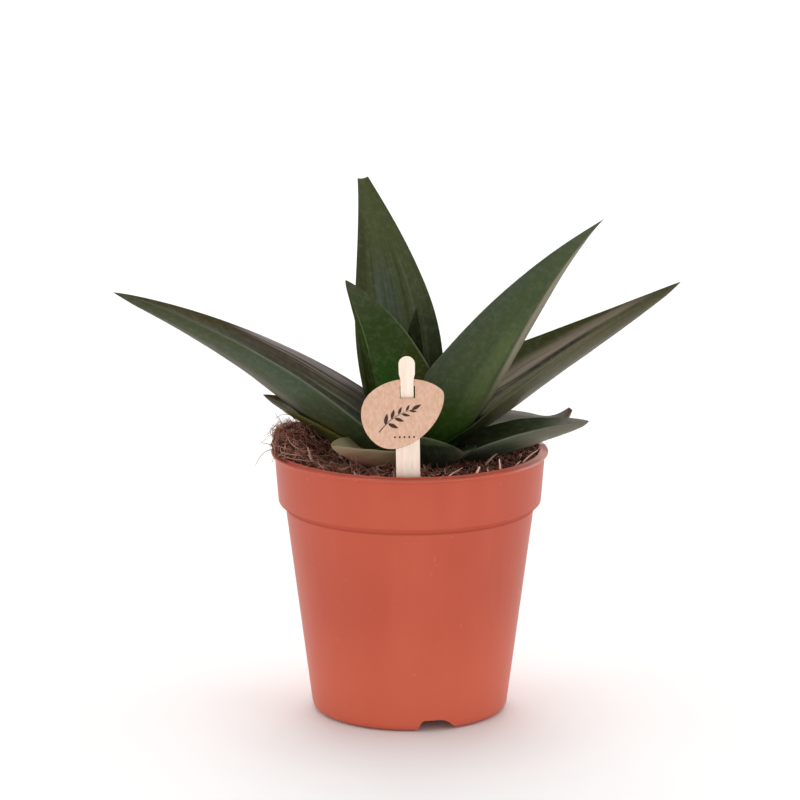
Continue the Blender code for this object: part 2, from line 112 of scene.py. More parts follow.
STRAY_HAIRS = (  # four guide points each, from inside the soil to the free end
    ((-41.0, -6.0, 86.6), (-46.6, -9.0, 90.6), (-48.4, -10.0, 87.4), (-50.3, -10.0, 83.6)),
    ((-35.0, -5.0, 93.0), (-38.0, -6.0, 101.6), (-41.0, -7.0, 100.6), (-43.8, -7.0, 98.6)),
    ((-42.0, -3.0, 88.0), (-45.6, -5.0, 90.0), (-47.6, -6.0, 89.8), (-48.6, -6.0, 90.6)),
)
STRAW_STUBS = (  # guide points and half thickness of the stubby bits that lean on the rim
    (((20.6, -36.2, 84.8), (21.2, -36.6, 87.6), (22.2, -36.9, 89.4)), 0.62),
    (((28.9, -30.4, 84.6), (28.9, -30.8, 88.0), (28.5, -31.0, 90.6)), 0.46),
    (((24.6, -14.0, 84.8), (26.2, -14.4, 87.2), (28.4, -15.0, 88.8)), 0.42),
    (((36.6, -18.4, 86.6), (38.6, -15.6, 88.4), (41.4, -11.0, 88.8)), 0.34),
    (((11.6, -40.4, 86.6), (14.0, -37.6, 87.8), (16.8, -33.0, 88.2)), 0.24),
    (((24.8, -33.4, 85.4), (25.0, -33.6, 86.8), (24.7, -34.0, 88.2)), 0.3),
    (((32.4, -26.6, 85.0), (33.6, -25.4, 87.0), (35.6, -23.4, 88.2)), 0.26),
)
STRAY_HAIR_THICKNESS = 0.15
FIBRES = {  # density per square metre, the rest in millimetres
    "fibres_fine": dict(density=360000.0, length=7.5, thickness=0.09, lift=0.5, seed=3),
    "fibres_coarse": dict(density=110000.0, length=12.0, thickness=0.15, lift=0.8, seed=11),
    "straw_bits": dict(density=9000.0, length=4.6, thickness=0.42, lift=1.6, seed=23),
    "pale_threads": dict(density=3500.0, length=16.0, thickness=0.1, lift=2.0, seed=31),
}
CRUMBS = {
    "peat_crumbs": dict(density=300000.0, size=1.3, flatness=0.8, seed=5),
    "bark_flakes": dict(density=40000.0, size=3.2, flatness=0.3, seed=8),
}
IN_MILLIMETRES = ("length", "thickness", "lift", "size")

# ---------------------------------------------------------------- sizes of the label
STAKE_FOOT = (0.0, -33.8, 46.0)  # from the pot's axis
STAKE_LENGTH = 81.6
STAKE_LEAN = 8.0
STAKE_TURN = -0.8
STAKE_WIDTH = 7.6
STAKE_NECK_WIDTH = 4.1
STAKE_HEAD_WIDTH = 5.2
STAKE_THICKNESS = 0.8
SHOULDER_HEIGHT = 61.0
NECK_HEIGHT = 62.9
NECK_TOP_HEIGHT = 73.8
HEAD_HEIGHT = 76.3
DISC_RADIUS = 12.07
DISC_OVAL = dict(size=1.7, turn=26.0)
DISC_CORNERS = dict(size=0.7, turn=24.0)
DISC_SEGMENTS = 120
DISC_THICKNESS = 0.7
DISC_TILT = 24.0
DISC_CROSSING_HEIGHT = 69.7
DISC_CENTRE_BELOW_CROSSING = 6.2
DISC_CENTRE_X = -1.7
SLOT_WIDTH = 4.3
SLOT_SPARE = 0.1
SLOT_SHADOW_GAP = 0.35
SPRIG_TURN = 56.0  # lean to the right
SPRIG_SPOT = (-9.0, -12.6)  # foot of the sprig, from the crossing of stake and disc
STEM_LENGTH = 12.58
STEM_BOW = 1.1
STEM_HALF_WIDTH = 0.13
SPRIG_PAIRS = 4
SPRIG_LEAF = dict(length=3.6, slimness=0.34, spread=52.0)
SPRIG_CHANGE = dict(length=-0.45, spread=-6.0)  # from each pair to the next one up the stem
END_LEAF = dict(length=3.4, width=1.15)
DOTS = dict(count=5, spacing=1.5, radius=0.33, start=(5.0, -1.6))
BURN_DEPTH = 0.03

# ---------------------------------------------------------------- sizes of the leaves
LEAF_RINGS = 120
LEAF_AROUND = 64
LEAF_DEFAULTS = dict(
    sweep=0.0, roll=0.0, twist=0.0, bend=1.0, channel=0.35, keel=0.45, keel_side=0.0, fullness=1.6,
    sharpness=0.85, root_r=6.0, root_z=85.0, waist=0.3, waist_length=0.25, cut=1.0, curl=0.0,
    look="mature",
)
LEAVES = {
    "leaf_heart": dict(azimuth=75, lean=(82, 78), length=42, width=13, channel=0.4, keel=0.4,
                       root_r=1, root_z=91, waist=0.2, look="heart"),
    "leaf_front_upright": dict(azimuth=-119, sweep=-6, roll=3, lean=(73, 45), length=69.5, width=30,
                               channel=0.42, keel=0.46, keel_side=-0.15, root_r=3, root_z=90,
                               look="young"),
    "leaf_back_tall": dict(azimuth=103, sweep=10, roll=-8, twist=-2, lean=(71, 45), length=105.5,
                           width=36, keel=0.42, fullness=1.8, sharpness=1.3, root_r=4, root_z=88,
                           waist=0.5, waist_length=0.5, cut=0.9, look="olive"),
    "leaf_right_tall": dict(azimuth=-26, sweep=-21, roll=-27, twist=-11, lean=(56.5, 35), bend=2.3,
                            length=111.5, width=33.5, channel=0.3, keel=0.46, keel_side=0.3,
                            fullness=1.55, sharpness=1.3, root_r=5, root_z=86, waist=0.4),
    "leaf_left_long": dict(azimuth=180, sweep=13, roll=-11, twist=3, lean=(43, 20), length=108,
                           width=35, channel=0.4, keel=0.65, keel_side=0.1, fullness=1.1,
                           root_r=5, waist=0.2, look="left_flushed"),
    "leaf_right_long": dict(azimuth=23, sweep=-23.5, roll=20, twist=-16.5, lean=(28.2, 33.7),
                            bend=1.5, length=101.2, width=38, channel=0.55, keel=0.4, fullness=1.1,
                            root_r=5, root_z=88, waist=0.35, look="right_flushed"),
    "leaf_right_dry": dict(azimuth=12, roll=25, lean=(14, -3), length=53.5, width=26, channel=0.4,
                           fullness=1.8, sharpness=1.0, root_z=86, cut=0.96, curl=56, look="dry"),
    "leaf_front_right_low": dict(azimuth=-60, sweep=-18, roll=-12, twist=-2, lean=(16.5, 13),
                                 length=41, width=26, channel=0.45, keel=0.37, fullness=1.75,
                                 sharpness=0.8, look="shaded"),
    "leaf_front_left_low": dict(azimuth=-129, sweep=8, roll=-5, twist=-3, lean=(13, 19.5),
                                length=38.5, width=25, keel=0.37, fullness=1.7, look="pale"),
    "leaf_right_low": dict(azimuth=-20.5, sweep=-12, roll=21, twist=-21, lean=(23.3, 13), bend=1.1,
                           length=61, width=26, channel=0.24, keel=0.48, fullness=2.05,
                           sharpness=0.76, root_z=83, waist=0.75, waist_length=0.7, look="low"),
    "leaf_left_low": dict(azimuth=178, roll=-14, lean=(28, 24.5), length=47, width=25, fullness=1.5,
                          root_z=84, look="yellowing"),
    "leaf_back_left_low": dict(azimuth=138, lean=(26, 14), length=44, width=24, root_z=84),
    "leaf_back_right_low": dict(azimuth=62, lean=(24, 10), length=46, width=24, root_z=84),
}
CURL_START = 0.68  # share of the length where a curled leaf turns up
LEAF_LENGTHS = ("length", "width", "root_r", "root_z")
LEAF_ANGLES = ("azimuth", "sweep", "roll", "twist", "lean_root", "lean_tip", "curl")
LEAF_SHARES = ("bend", "channel", "keel", "keel_side", "fullness", "sharpness", "waist", "waist_length",
               "cut")


# ---------------------------------------------------------------- node trees
class Flow:
    """A value in a node tree. Arithmetic on it adds Math or Vector Math nodes."""

    def __init__(self, nodes, socket):
        self.nodes = nodes
        self.socket = socket

    def is_vector(self):
        return self.socket.type in ("VECTOR", "RGBA")

    def combine(self, operation, first, second):
        vectors = [isinstance(v, Vector) or (isinstance(v, Flow) and v.is_vector())
                   for v in (first, second)]
        if not any(vectors):
            return self.nodes.math(operation, first, second)
        if operation == "MULTIPLY" and not all(vectors):
            arrow, factor = (first, second) if vectors[0] else (second, first)
            return self.nodes.scaled(arrow, factor)
        return self.nodes.vector(operation, first, second)

    def __add__(self, other):
        return self.combine("ADD", self, other)

    def __radd__(self, other):
        return self.combine("ADD", other, self)

    def __sub__(self, other):
        return self.combine("SUBTRACT", self, other)

    def __rsub__(self, other):
        return self.combine("SUBTRACT", other, self)

    def __mul__(self, other):
        return self.combine("MULTIPLY", self, other)

    def __rmul__(self, other):
        return self.combine("MULTIPLY", other, self)

    def __truediv__(self, other):
        return self.combine("DIVIDE", self, other)

    def __rtruediv__(self, other):
        return self.combine("DIVIDE", other, self)

    def __pow__(self, other):
        return self.nodes.math("POWER", self, other)


class Nodes:
    """Adds nodes to one tree. A value may be a number, a vector or a Flow."""

    def __init__(self, tree):
        self.tree = tree

    def feed(self, socket, value):
        if isinstance(value, Flow):
            self.tree.links.new(value.socket, socket)
        elif isinstance(value, bpy.types.NodeSocket):
            self.tree.links.new(value, socket)
        else:
            socket.default_value = value

    def add(self, kind, inputs=None, **settings):
        node = self.tree.nodes.new(kind)
        for name, value in settings.items():
            setattr(node, name, value)
        for name, value in (inputs or {}).items():
            self.feed(node.inputs[name], value)
        return node

    def flow(self, kind, inputs=None, output=0, **settings):
        return Flow(self, self.add(kind, inputs, **settings).outputs[output])

    def math(self, operation, *values, clamp=False):
        return self.flow("ShaderNodeMath", dict(enumerate(values)), operation=operation, use_clamp=clamp)

    def vector(self, operation, *values):
        return self.flow("ShaderNodeVectorMath", dict(enumerate(values)), operation=operation)

    def scaled(self, arrow, factor):
        return self.flow("ShaderNodeVectorMath", {0: arrow, "Scale": factor}, operation="SCALE")

    def join(self, x, y, z):
        return self.flow("ShaderNodeCombineXYZ", {0: x, 1: y, 2: z})

    def split(self, arrow):
        node = self.add("ShaderNodeSeparateXYZ", {0: arrow})
        return [Flow(self, socket) for socket in node.outputs]

    def step(self, value, low, high):
        """0 below low and 1 above high, or the other way round where high is the smaller."""
        inputs = {"Value": value, "From Min": low, "From Max": high}
        return self.flow("ShaderNodeMapRange", inputs, interpolation_type="SMOOTHSTEP")

    def noise(self, place, scale=1.0, detail=2.0, roughness=0.5):
        inputs = {"Vector": place, "Scale": scale, "Detail": detail, "Roughness": roughness}
        return self.flow("ShaderNodeTexNoise", inputs)

    def noise_arrow(self, place, scale=1.0, detail=1.0):
        """A vector of three noises about zero."""
        inputs = {"Vector": place, "Scale": scale, "Detail": detail}
        return self.flow("ShaderNodeTexNoise", inputs, output="Color") - Vector((0.5, 0.5, 0.5))

    def blend(self, factor, first, second):
        inputs = {0: factor, 6: first, 7: second}
        return self.flow("ShaderNodeMix", inputs, output=2, data_type="RGBA")


class Recipe(Nodes):
    """A Geometry Nodes tree with named inputs."""

    def __init__(self, name):
        super().__init__(bpy.data.node_groups.new(name, "GeometryNodeTree"))
        self.entry = self.tree.nodes.new("NodeGroupInput")
        self.exit = self.tree.nodes.new("NodeGroupOutput")
        self.tree.interface.new_socket("Geometry", in_out="OUTPUT", socket_type="NodeSocketGeometry")
        self.keys = {}

    def ask(self, name, kind="Float"):
        socket = self.tree.interface.new_socket(name, in_out="INPUT", socket_type="NodeSocket" + kind)
        self.keys[name] = socket.identifier
        return Flow(self, self.entry.outputs[name])

    def store(self, shape, name, value, kind="FLOAT_VECTOR", domain="POINT"):
        inputs = {"Geometry": shape, "Name": name, "Value": value}
        return self.flow("GeometryNodeStoreNamedAttribute", inputs, data_type=kind, domain=domain)

    def random(self, low, high, seed):
        node = self.add("FunctionNodeRandomValue", data_type="FLOAT")
        wanted = {"Min_001": low, "Max_001": high, "Seed": seed}
        for socket in node.inputs:
            if socket.identifier in wanted:
                self.feed(socket, wanted[socket.identifier])
        return Flow(self, node.outputs[1])

    def stored(self, name):
        return self.flow("GeometryNodeInputNamedAttribute", {"Name": name}, data_type="FLOAT")

    def turned(self, rotation, axis, angle):
        """A rotation that is turned on by an angle about its own axis."""
        more = self.flow("FunctionNodeAxisAngleToRotation", {"Axis": Vector(axis), "Angle": angle})
        inputs = {"Rotation": rotation, "Rotate By": more}
        return self.flow("FunctionNodeRotateRotation", inputs, rotation_space="LOCAL")

    def end(self, shape):
        """Realizes the shape, gives it the asked material and hands it out."""
        real = self.flow("GeometryNodeRealizeInstances", {"Geometry": shape})
        inputs = {"Geometry": real, "Material": self.ask("Material", "Material")}
        done = self.flow("GeometryNodeSetMaterial", inputs)
        self.tree.links.new(done.socket, self.exit.inputs[0])


def add_object(name, data):
    thing = bpy.data.objects.new(name, data)
    bpy.context.scene.collection.objects.link(thing)
    return thing


def plain(thing):
    """Turns an object with modifiers into one with a plain mesh."""
    graph = bpy.context.evaluated_depsgraph_get()
    mesh = bpy.data.meshes.new_from_object(thing.evaluated_get(graph))
    thing.modifiers.clear()
    thing.data = mesh
    return thing


def grow(name, recipe, values, mesh=None):
    """Runs a recipe with its inputs set, on a mesh or from nothing, and keeps the result as a mesh."""
    thing = add_object(name, mesh or bpy.data.meshes.new(name))
    step = thing.modifiers.new(recipe.tree.name, "NODES")
    step.node_group = recipe.tree
    for key, value in values.items():
        step[recipe.keys[key]] = value
    return plain(thing)


def settle_piece(piece, slot, *nodes):
    """Puts a finished piece under the root body, which it moves with, and hides the CAD nodes it stands
    for; its slot is not used.
    """
    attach(piece, "root")
    if nodes:
        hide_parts(*nodes)


# ---------------------------------------------------------------- finishes
def paint(red, green, blue):
    """A colour from its everyday 0 to 255 values, as the linear one that shaders take."""
    shares = [value / 255.0 for value in (red, green, blue)]
    return tuple(s / 12.92 if s <= 0.04045 else ((s + 0.055) / 1.055) ** 2.4 for s in shares) + (1.0,)


def new_material(name, roughness, specular=0.5):
    """A material, its node tree and its shader."""
    made = bpy.data.materials.new(name)
    made.use_nodes = True
    shader = made.node_tree.nodes["Principled BSDF"]
    shader.inputs["Roughness"].default_value = roughness
    shader.inputs["Specular IOR Level"].default_value = specular
    return made, Nodes(made.node_tree), shader


def bump(n, shader, height, depth_mm, strength=1.0):
    """Relief in the surface from a height of 0 to 1."""
    inputs = {"Height": height, "Strength": strength, "Distance": depth_mm * MM}
    n.feed(shader.inputs["Normal"], n.flow("ShaderNodeBump", inputs))


def object_place(n):
    return n.flow("ShaderNodeTexCoord", output="Object")


DARK_OLIVE = paint(52, 54, 18)
DEEP_GREEN = paint(32, 78, 18)
# Painted shadow: a near-black for the shade in leaf creases, channels and at leaf roots.
SHADOW_BLACK = paint(20, 24, 8)
# Painted sheen: a warm grey for the white room's reflection on a leaf's back.
SHEEN_WARM_GREY = paint(132, 122, 100)
# Painted sheen: a pinkish grey for the reflection along a leaf's back and lower edges.
SHEEN_PINK_GREY = paint(116, 104, 94)
BROWN = paint(52, 42, 28)
# Painted sheen: a bluish grey for the reflection in a leaf's channel.
SHEEN_BLUE_GREY = paint(68, 80, 70)
TEAL = paint(54, 80, 64)
PALE_LINE = paint(140, 144, 118)
DRY_COLOR = paint(92, 66, 46)


def streak(on, across, width, along, color, strength):
    """A soft band that runs with a leaf on its face or back, from one place across it to another."""
    return dict(on=on, across=across, width=width, along=along, color=color, strength=strength)


LEAF_LOOK_DEFAULTS = dict(
    back=paint(64, 76, 46), face=paint(40, 50, 26), root=paint(36, 54, 12), tip=paint(80, 84, 64),
    vein=paint(46, 58, 30), veins=0.5, mottle=0.1, dry=0.1, gloss=0.16, left_margin=0.15,
    right_margin=0.15, streaks=(),
)
LEAF_LOOKS = {
    "heart": dict(
        face=paint(28, 36, 10), back=paint(44, 60, 22), tip=paint(40, 46, 20), veins=0.3, gloss=0.08),
    "young": dict(
        back=paint(50, 66, 32), face=paint(44, 62, 26), root=paint(32, 54, 6), tip=paint(72, 74, 60),
        vein=paint(38, 56, 20), veins=0.4, gloss=0.0, left_margin=0.4, streaks=(
            streak("back", (0.3, 0.2), 0.5, (0.1, 0.62), DEEP_GREEN, 0.5),
            streak("back", (0.9, 0.75), 0.34, (0.0, 0.6), DARK_OLIVE, 0.75),
            streak("back", (-0.7, -0.7), 0.6, (-0.1, 0.6), paint(40, 46, 10), 0.85),
            streak("back", (-0.6, -0.6), 0.5, (0.55, 1.0), paint(58, 68, 24), 0.7),
            streak("back", (-0.17, -0.13), 0.05, (0.48, 0.95), paint(108, 116, 70), 0.6),
            # A painted shadow line beside the keel.
            streak("back", (-0.3, -0.26), 0.06, (0.2, 0.8), SHADOW_BLACK, 0.5),
        )),
    "olive": dict(
        face=paint(68, 76, 42), back=paint(52, 60, 28), root=paint(30, 38, 8), tip=paint(68, 70, 36),
        vein=paint(44, 52, 20), veins=0.55, dry=0.5, gloss=0.14, left_margin=0.0, right_margin=0.2,
        streaks=(
            streak("face", (0.9, 0.8), 0.4, (0.1, 0.85), DARK_OLIVE, 0.75),
            streak("face", (-0.85, -0.9), 0.5, (-0.1, 0.5), paint(28, 40, 2), 0.85),
            streak("face", (-0.7, -0.7), 0.4, (0.42, 0.85), paint(70, 76, 44), 0.5),
            # Painted sheen down the channel: the blue-grey band and the paler bluish streak after it.
            streak("face", (0.12, 0.1), 0.5, (0.1, 0.66), SHEEN_BLUE_GREY, 0.75),
            streak("face", (0.3, 0.3), 0.07, (0.2, 0.6), paint(84, 96, 88), 0.4),
            streak("face", (-0.52, -0.5), 0.07, (0.15, 0.7), paint(88, 96, 74), 0.5),
            streak("face", (-0.36, -0.38), 0.06, (0.2, 0.7), paint(34, 44, 20), 0.5),
            streak("face", (0.44, 0.45), 0.07, (0.25, 0.75), paint(40, 46, 20), 0.5),
            streak("face", (-0.68, -0.7), 0.05, (0.15, 0.75), paint(70, 78, 42), 0.4),
        )),
    "mature": dict(streaks=(
        # The first band and the warm-grey ones are painted sheen beside the keel; the near-black band is
        # painted shade at the root.
        streak("back", (0.73, 0.66), 0.57, (0.1, 0.95), paint(136, 126, 104), 0.85),
        streak("back", (0.7, 0.7), 0.4, (-0.2, 0.27), SHADOW_BLACK, 0.9),
        streak("back", (0.62, 0.5), 0.08, (0.05, 0.26), SHEEN_WARM_GREY, 0.7),
        streak("back", (-0.1, -0.1), 0.6, (-0.2, 0.3), paint(42, 74, 10), 0.8),
        streak("back", (0.42, 0.4), 0.26, (0.36, 0.7), SHEEN_WARM_GREY, 0.5),
        streak("back", (0.0, 0.1), 0.36, (0.14, 0.6), paint(90, 104, 60), 0.55),
        streak("back", (-0.95, -0.95), 0.35, (0.15, 0.8), paint(66, 74, 62), 0.5),
        streak("back", (0.24, 0.24), 0.06, (0.2, 0.9), paint(50, 60, 36), 0.5),
    )),
    "left_flushed": dict(
        face=paint(58, 54, 30), back=paint(70, 78, 56), root=paint(44, 56, 26), tip=paint(56, 58, 34),
        vein=paint(50, 54, 34), gloss=0.12, left_margin=0.4, right_margin=0.1, streaks=(
            streak("face", (-0.65, -0.6), 0.35, (0.05, 0.65), paint(76, 64, 54), 0.7),
            streak("face", (-0.66, -0.62), 0.34, (-0.2, 0.4), paint(104, 102, 84), 0.7),
            streak("face", (-0.6, -0.6), 0.5, (0.55, 0.98), paint(64, 56, 18), 0.7),
            # Painted shadow in the channel.
            streak("face", (0.35, 0.5), 1.0, (-0.2, 0.86), SHADOW_BLACK, 0.95),
            streak("face", (-0.42, -0.4), 0.045, (0.05, 0.42), PALE_LINE, 0.5),
            streak("face", (-0.53, -0.5), 0.04, (0.1, 0.6), BROWN, 0.55),
            # These two pale bands are painted reflection near the far edge.
            streak("face", (-0.94, -0.92), 0.1, (0.08, 0.66), paint(176, 162, 164), 0.85),
            streak("face", (-0.76, -0.84), 0.04, (0.1, 0.6), paint(150, 138, 134), 0.75),
            streak("face", (-0.68, -0.66), 0.05, (0.1, 0.42), paint(38, 30, 22), 0.7),
            streak("face", (-0.1, -0.62), 0.09, (0.42, 0.8), paint(36, 38, 12), 0.75),
            # Another painted reflection streak near the far edge.
            streak("face", (-0.7, -0.72), 0.03, (0.1, 0.5), paint(126, 114, 106), 0.5),
            streak("back", (0.85, 0.8), 0.3, (0.26, 0.64), TEAL, 0.35),
            streak("back", (0.95, 0.95), 0.3, (0.5, 1.1), paint(62, 66, 36), 0.6),
            streak("back", (0.25, 0.05), 0.62, (-0.3, 0.32), paint(98, 88, 30), 0.85),
            # Painted sheen along the back.
            streak("back", (0.3, 0.25), 0.22, (0.22, 0.95), SHEEN_PINK_GREY, 0.55),
        )),
    "right_flushed": dict(
        face=paint(80, 80, 54), back=paint(78, 75, 50), root=paint(34, 44, 16), tip=paint(68, 68, 42),
        vein=paint(62, 60, 40), gloss=0.1, left_margin=0.1, right_margin=0.2, streaks=(
            # The first band is painted sheen in the channel and the second a painted highlight.
            streak("face", (0.05, 0.98), 0.26, (0.1, 0.94), paint(134, 120, 106), 0.95),
            streak("face", (0.2, 1.02), 0.05, (0.66, 0.98), paint(164, 160, 142), 0.6),
            streak("face", (0.72, 1.38), 0.62, (0.0, 1.1), paint(50, 54, 18), 1.0),
            streak("face", (0.12, 0.9), 0.03, (0.12, 0.6), paint(86, 74, 62), 0.6),
            streak("face", (0.14, 0.4), 0.05, (0.1, 0.56), paint(56, 44, 32), 0.8),
            # These two near-black bands are painted shadow in the crease by the near margin.
            streak("face", (-0.32, 0.8), 0.15, (0.3, 0.74), paint(30, 22, 10), 1.0),
            streak("face", (0.03, 0.2), 0.14, (-0.1, 0.42), paint(30, 24, 14), 1.0),
            streak("face", (-0.2, 0.45), 0.12, (0.2, 0.75), paint(112, 106, 82), 0.6),
            streak("face", (-0.5, 0.0), 0.16, (0.1, 0.8), paint(52, 48, 24), 0.7),
            # Painted sheen along the lower edge.
            streak("back", (-0.45, -0.5), 0.14, (0.3, 0.95), SHEEN_PINK_GREY, 0.4),
        )),
    "dry": dict(
        # The face colour is lighter than the dry leaf's own: painted light for a leaf that lies in shade.
        back=paint(100, 96, 76), face=paint(178, 172, 162), root=paint(84, 80, 60), tip=paint(108, 88, 68),
        vein=paint(134, 130, 118), dry=1.0, left_margin=0.3, streaks=(
            streak("face", (0.7, 0.7), 0.2, (0.2, 0.9), paint(96, 94, 84), 0.5),
        )),
    "low": dict(
        back=paint(94, 96, 80), face=paint(38, 48, 26), root=paint(66, 58, 40), tip=paint(116, 110, 98),
        vein=paint(60, 66, 50), gloss=0.12, left_margin=0.4, right_margin=0.4, streaks=(
            streak("face", (-0.4, -0.3), 0.09, (0.12, 0.7), paint(96, 98, 88), 0.5),
            streak("face", (0.5, 0.4), 0.25, (0.05, 0.4), paint(66, 46, 38), 0.5),
            streak("back", (-0.6, -0.55), 0.5, (0.1, 0.66), paint(50, 70, 54), 0.8),
            # Painted sheen along the back.
            streak("back", (-0.35, -0.35), 0.12, (0.2, 0.9), SHEEN_PINK_GREY, 0.5),
        )),
    "shaded": dict(
        back=paint(38, 48, 32), face=paint(34, 42, 26), root=paint(32, 36, 20), tip=paint(42, 48, 30),
        vein=paint(28, 34, 16), gloss=0.12, right_margin=0.5, streaks=(
            streak("back", (-0.94, -0.94), 0.14, (0.2, 0.9), paint(88, 100, 58), 0.55),
        )),
    "pale": dict(
        # These colours are lighter than the leaf's own: painted light for a low leaf that lies in shade.
        back=paint(174, 152, 122), face=paint(154, 146, 114), root=paint(196, 152, 122),
        tip=paint(144, 134, 108), vein=paint(146, 126, 98), mottle=0.16, left_margin=0.2, right_margin=0.2,
        streaks=(
            streak("back", (0.3, 0.4), 0.5, (0.0, 0.95), paint(196, 140, 116), 0.65),
        )),
    "yellowing": dict(
        back=paint(92, 88, 40), face=paint(78, 74, 34), root=paint(118, 106, 34), tip=paint(70, 60, 54),
        vein=paint(74, 70, 38), dry=0.7, gloss=0.08, left_margin=0.0, streaks=(
            streak("back", (0.7, 0.7), 0.3, (0.4, 1.0), paint(56, 46, 40), 0.6),
        )),
}


def leaf_material(name, look):
    """Waxy skin: veins and soft streaks that run with the leaf, some of them painted sheen, highlight and
    shadow, fine pale margins, a root colour that is partly painted shade, and a dry tip.
    """
    look = {**LEAF_LOOK_DEFAULTS, **look}
    made, n, shader = new_material(name, 0.36, look["gloss"])
    spot = n.flow("ShaderNodeAttribute", output="Vector", attribute_name="leaf_place")
    along, across, turn = n.split(spot)
    here = object_place(n)
    facing = n.step(turn, -0.08, 0.08)
    veins = n.noise(n.join(across * 20.0, along * 1.3, facing * 9.0), 1.0, 4.0, 0.62)
    cloud = n.noise(here, 60.0, 3.0)
    mottle = n.noise(here, 520.0, 3.0, 0.6)
    drift = (n.noise(n.join(across * 1.5, along * 3.0, facing * 5.0), 1.0, 2.0) - 0.5) * 0.12

    skin = n.blend(facing, look["back"], look["face"])
    # Toward the root the skin turns to the look's root colour; where that is a dark green, it is painted
    # shade at the leaf's base.
    skin = n.blend(n.step(along, 0.36, 0.04), skin, look["root"])
    skin = n.blend(n.step(along, 0.68, 1.0) * 0.75, skin, look["tip"])
    # Bands in the sheen greys and the shadow black, and some others noted in the looks, are painted sheen,
    # highlight and shadow; the rest are the skin's own colour.
    for band in look["streaks"]:
        start, end = band["across"]
        low, high = band["along"]
        off = n.math("ABSOLUTE", across + drift - start - along * (end - start))
        mask = n.step(off, band["width"], band["width"] * 0.3) * n.step(along, low, low + 0.16)
        mask = mask * n.step(along, high, high - 0.16) * (facing if band["on"] == "face" else 1.0 - facing)
        ragged = n.step(veins, 0.22, 0.5) * 0.45 + 0.55
        skin = n.blend(mask * ragged * band["strength"], skin, band["color"])
    skin = n.blend(n.step(veins, 0.46, 0.72) * look["veins"], skin, look["vein"])
    skin = n.blend(n.step(mottle, 0.42, 0.75) * look["mottle"], skin, PALE_LINE)
    for margin, share in ((across, look["left_margin"]), (across * -1.0, look["right_margin"])):
        edge = n.step(margin, 0.98, 0.996) * n.step(along, 0.02, 0.2) * n.step(along, 0.95, 0.5)
        skin = n.blend(edge * (veins * 0.6 + 0.6) * share, skin, PALE_LINE)
    dried = n.step(along + (cloud - 0.5) * 0.1, 0.9, 0.975) * look["dry"]
    skin = n.blend(dried, skin, DRY_COLOR)
    n.feed(shader.inputs["Base Color"], skin)
    n.feed(shader.inputs["Roughness"], 0.32 + cloud * 0.14 + dried * 0.3)
    bump(n, shader, veins * 0.7 + mottle * 0.3, 0.12, 0.6)
    return made


def pot_material():
    """Moulded plastic: flow marks, pale specks and foot scuffs, a painted highlight on the lip, painted
    shade in the crease and the lip's groove, and a painted lighter foot.
    """
    made, n, shader = new_material("moulded_terracotta_plastic", 0.48, 0.2)
    here = object_place(n)
    x, y, height = n.split(here - POT_AXIS)
    flow_marks = n.noise(here * Vector((90.0, 90.0, 14.0)), 1.0, 3.0)
    cloud = n.noise(here, 28.0, 2.0)
    plastic = n.blend(n.step(cloud, 0.3, 0.7), paint(189, 84, 62), paint(194, 88, 65))
    plastic = n.blend(n.step(flow_marks, 0.4, 0.75) * 0.3, plastic, paint(206, 100, 78))
    specks = n.step(n.noise(here, 520.0, 2.0), 0.7, 0.76) * 0.2
    plastic = n.blend(specks, plastic, paint(224, 140, 116))

    # Painted highlight: the lip's edge is paler all round and most toward +x.
    lip = n.step(height, (POT_HEIGHT - 1.3) * MM, (POT_HEIGHT - 0.7) * MM)
    highlight_side = n.step(x, LIP_HIGHLIGHT_SIDE[0] * MM, LIP_HIGHLIGHT_SIDE[1] * MM)
    plastic = n.blend(lip * (highlight_side * 0.66 + 0.06), plastic, paint(226, 168, 156))

    # Painted shade: a dark band on the ledge below the collar, a darker line at the crease's corner and a
    # dark line in the lip's groove, weaker where the lip's painted highlight is.
    ledge = n.step(n.math("ABSOLUTE", height - (CREASE[1] + 1.0) * MM), 1.5 * MM, 0.7 * MM)
    corner = n.step(n.math("ABSOLUTE", height - (CREASE[1] + 0.1) * MM), 0.7 * MM, 0.1 * MM)
    off_groove = n.math("ABSOLUTE", n.math("SQRT", x * x + y * y) - LIP_GROOVE_RADIUS * MM)
    groove = n.step(off_groove, 0.3 * MM, 0.12 * MM) * lip * (0.45 - highlight_side * 0.35)
    plastic = n.blend(ledge * 0.22 + corner * 0.4 + groove, plastic, paint(150, 58, 40))

    scuffs = n.step(n.noise(here * Vector((160.0, 160.0, 700.0)), 1.0, 3.0), 0.66, 0.8)
    low = n.step(height, SCUFF_HEIGHT * MM, 2.0 * MM)
    plastic = n.blend(scuffs * low * 0.5, plastic, paint(220, 132, 108))
    # Painted light: the lower body is lighter, standing in for the floor's bounce light.
    plastic = n.blend(n.step(height, 46.0 * MM, 4.0 * MM) * 0.6, plastic, paint(216, 106, 80))
    n.feed(shader.inputs["Base Color"], plastic)
    n.feed(shader.inputs["Roughness"], 0.34 + flow_marks * 0.12 + ledge * 0.4)
    bump(n, shader, n.noise(here, 1500.0, 2.0) * 0.4 + flow_marks * 0.6, 0.1, 0.35)
    return made


def soil_material(name, dark, light):
    """Rough and matt, between two browns: by its grain, and by the tint that each loose bit carries."""
    made, n, shader = new_material(name, 0.92, 0.25)
    here = object_place(n)
    tint = n.flow("ShaderNodeAttribute", output="Fac", attribute_name="tint")
    grain = n.noise(here, 700.0, 4.0, 0.65)
    mix = n.step(grain * 0.6 + tint * 0.6, 0.25, 0.95)
    n.feed(shader.inputs["Base Color"], n.blend(mix, dark, light))
    bump(n, shader, grain, 0.5, 0.8)
    return made


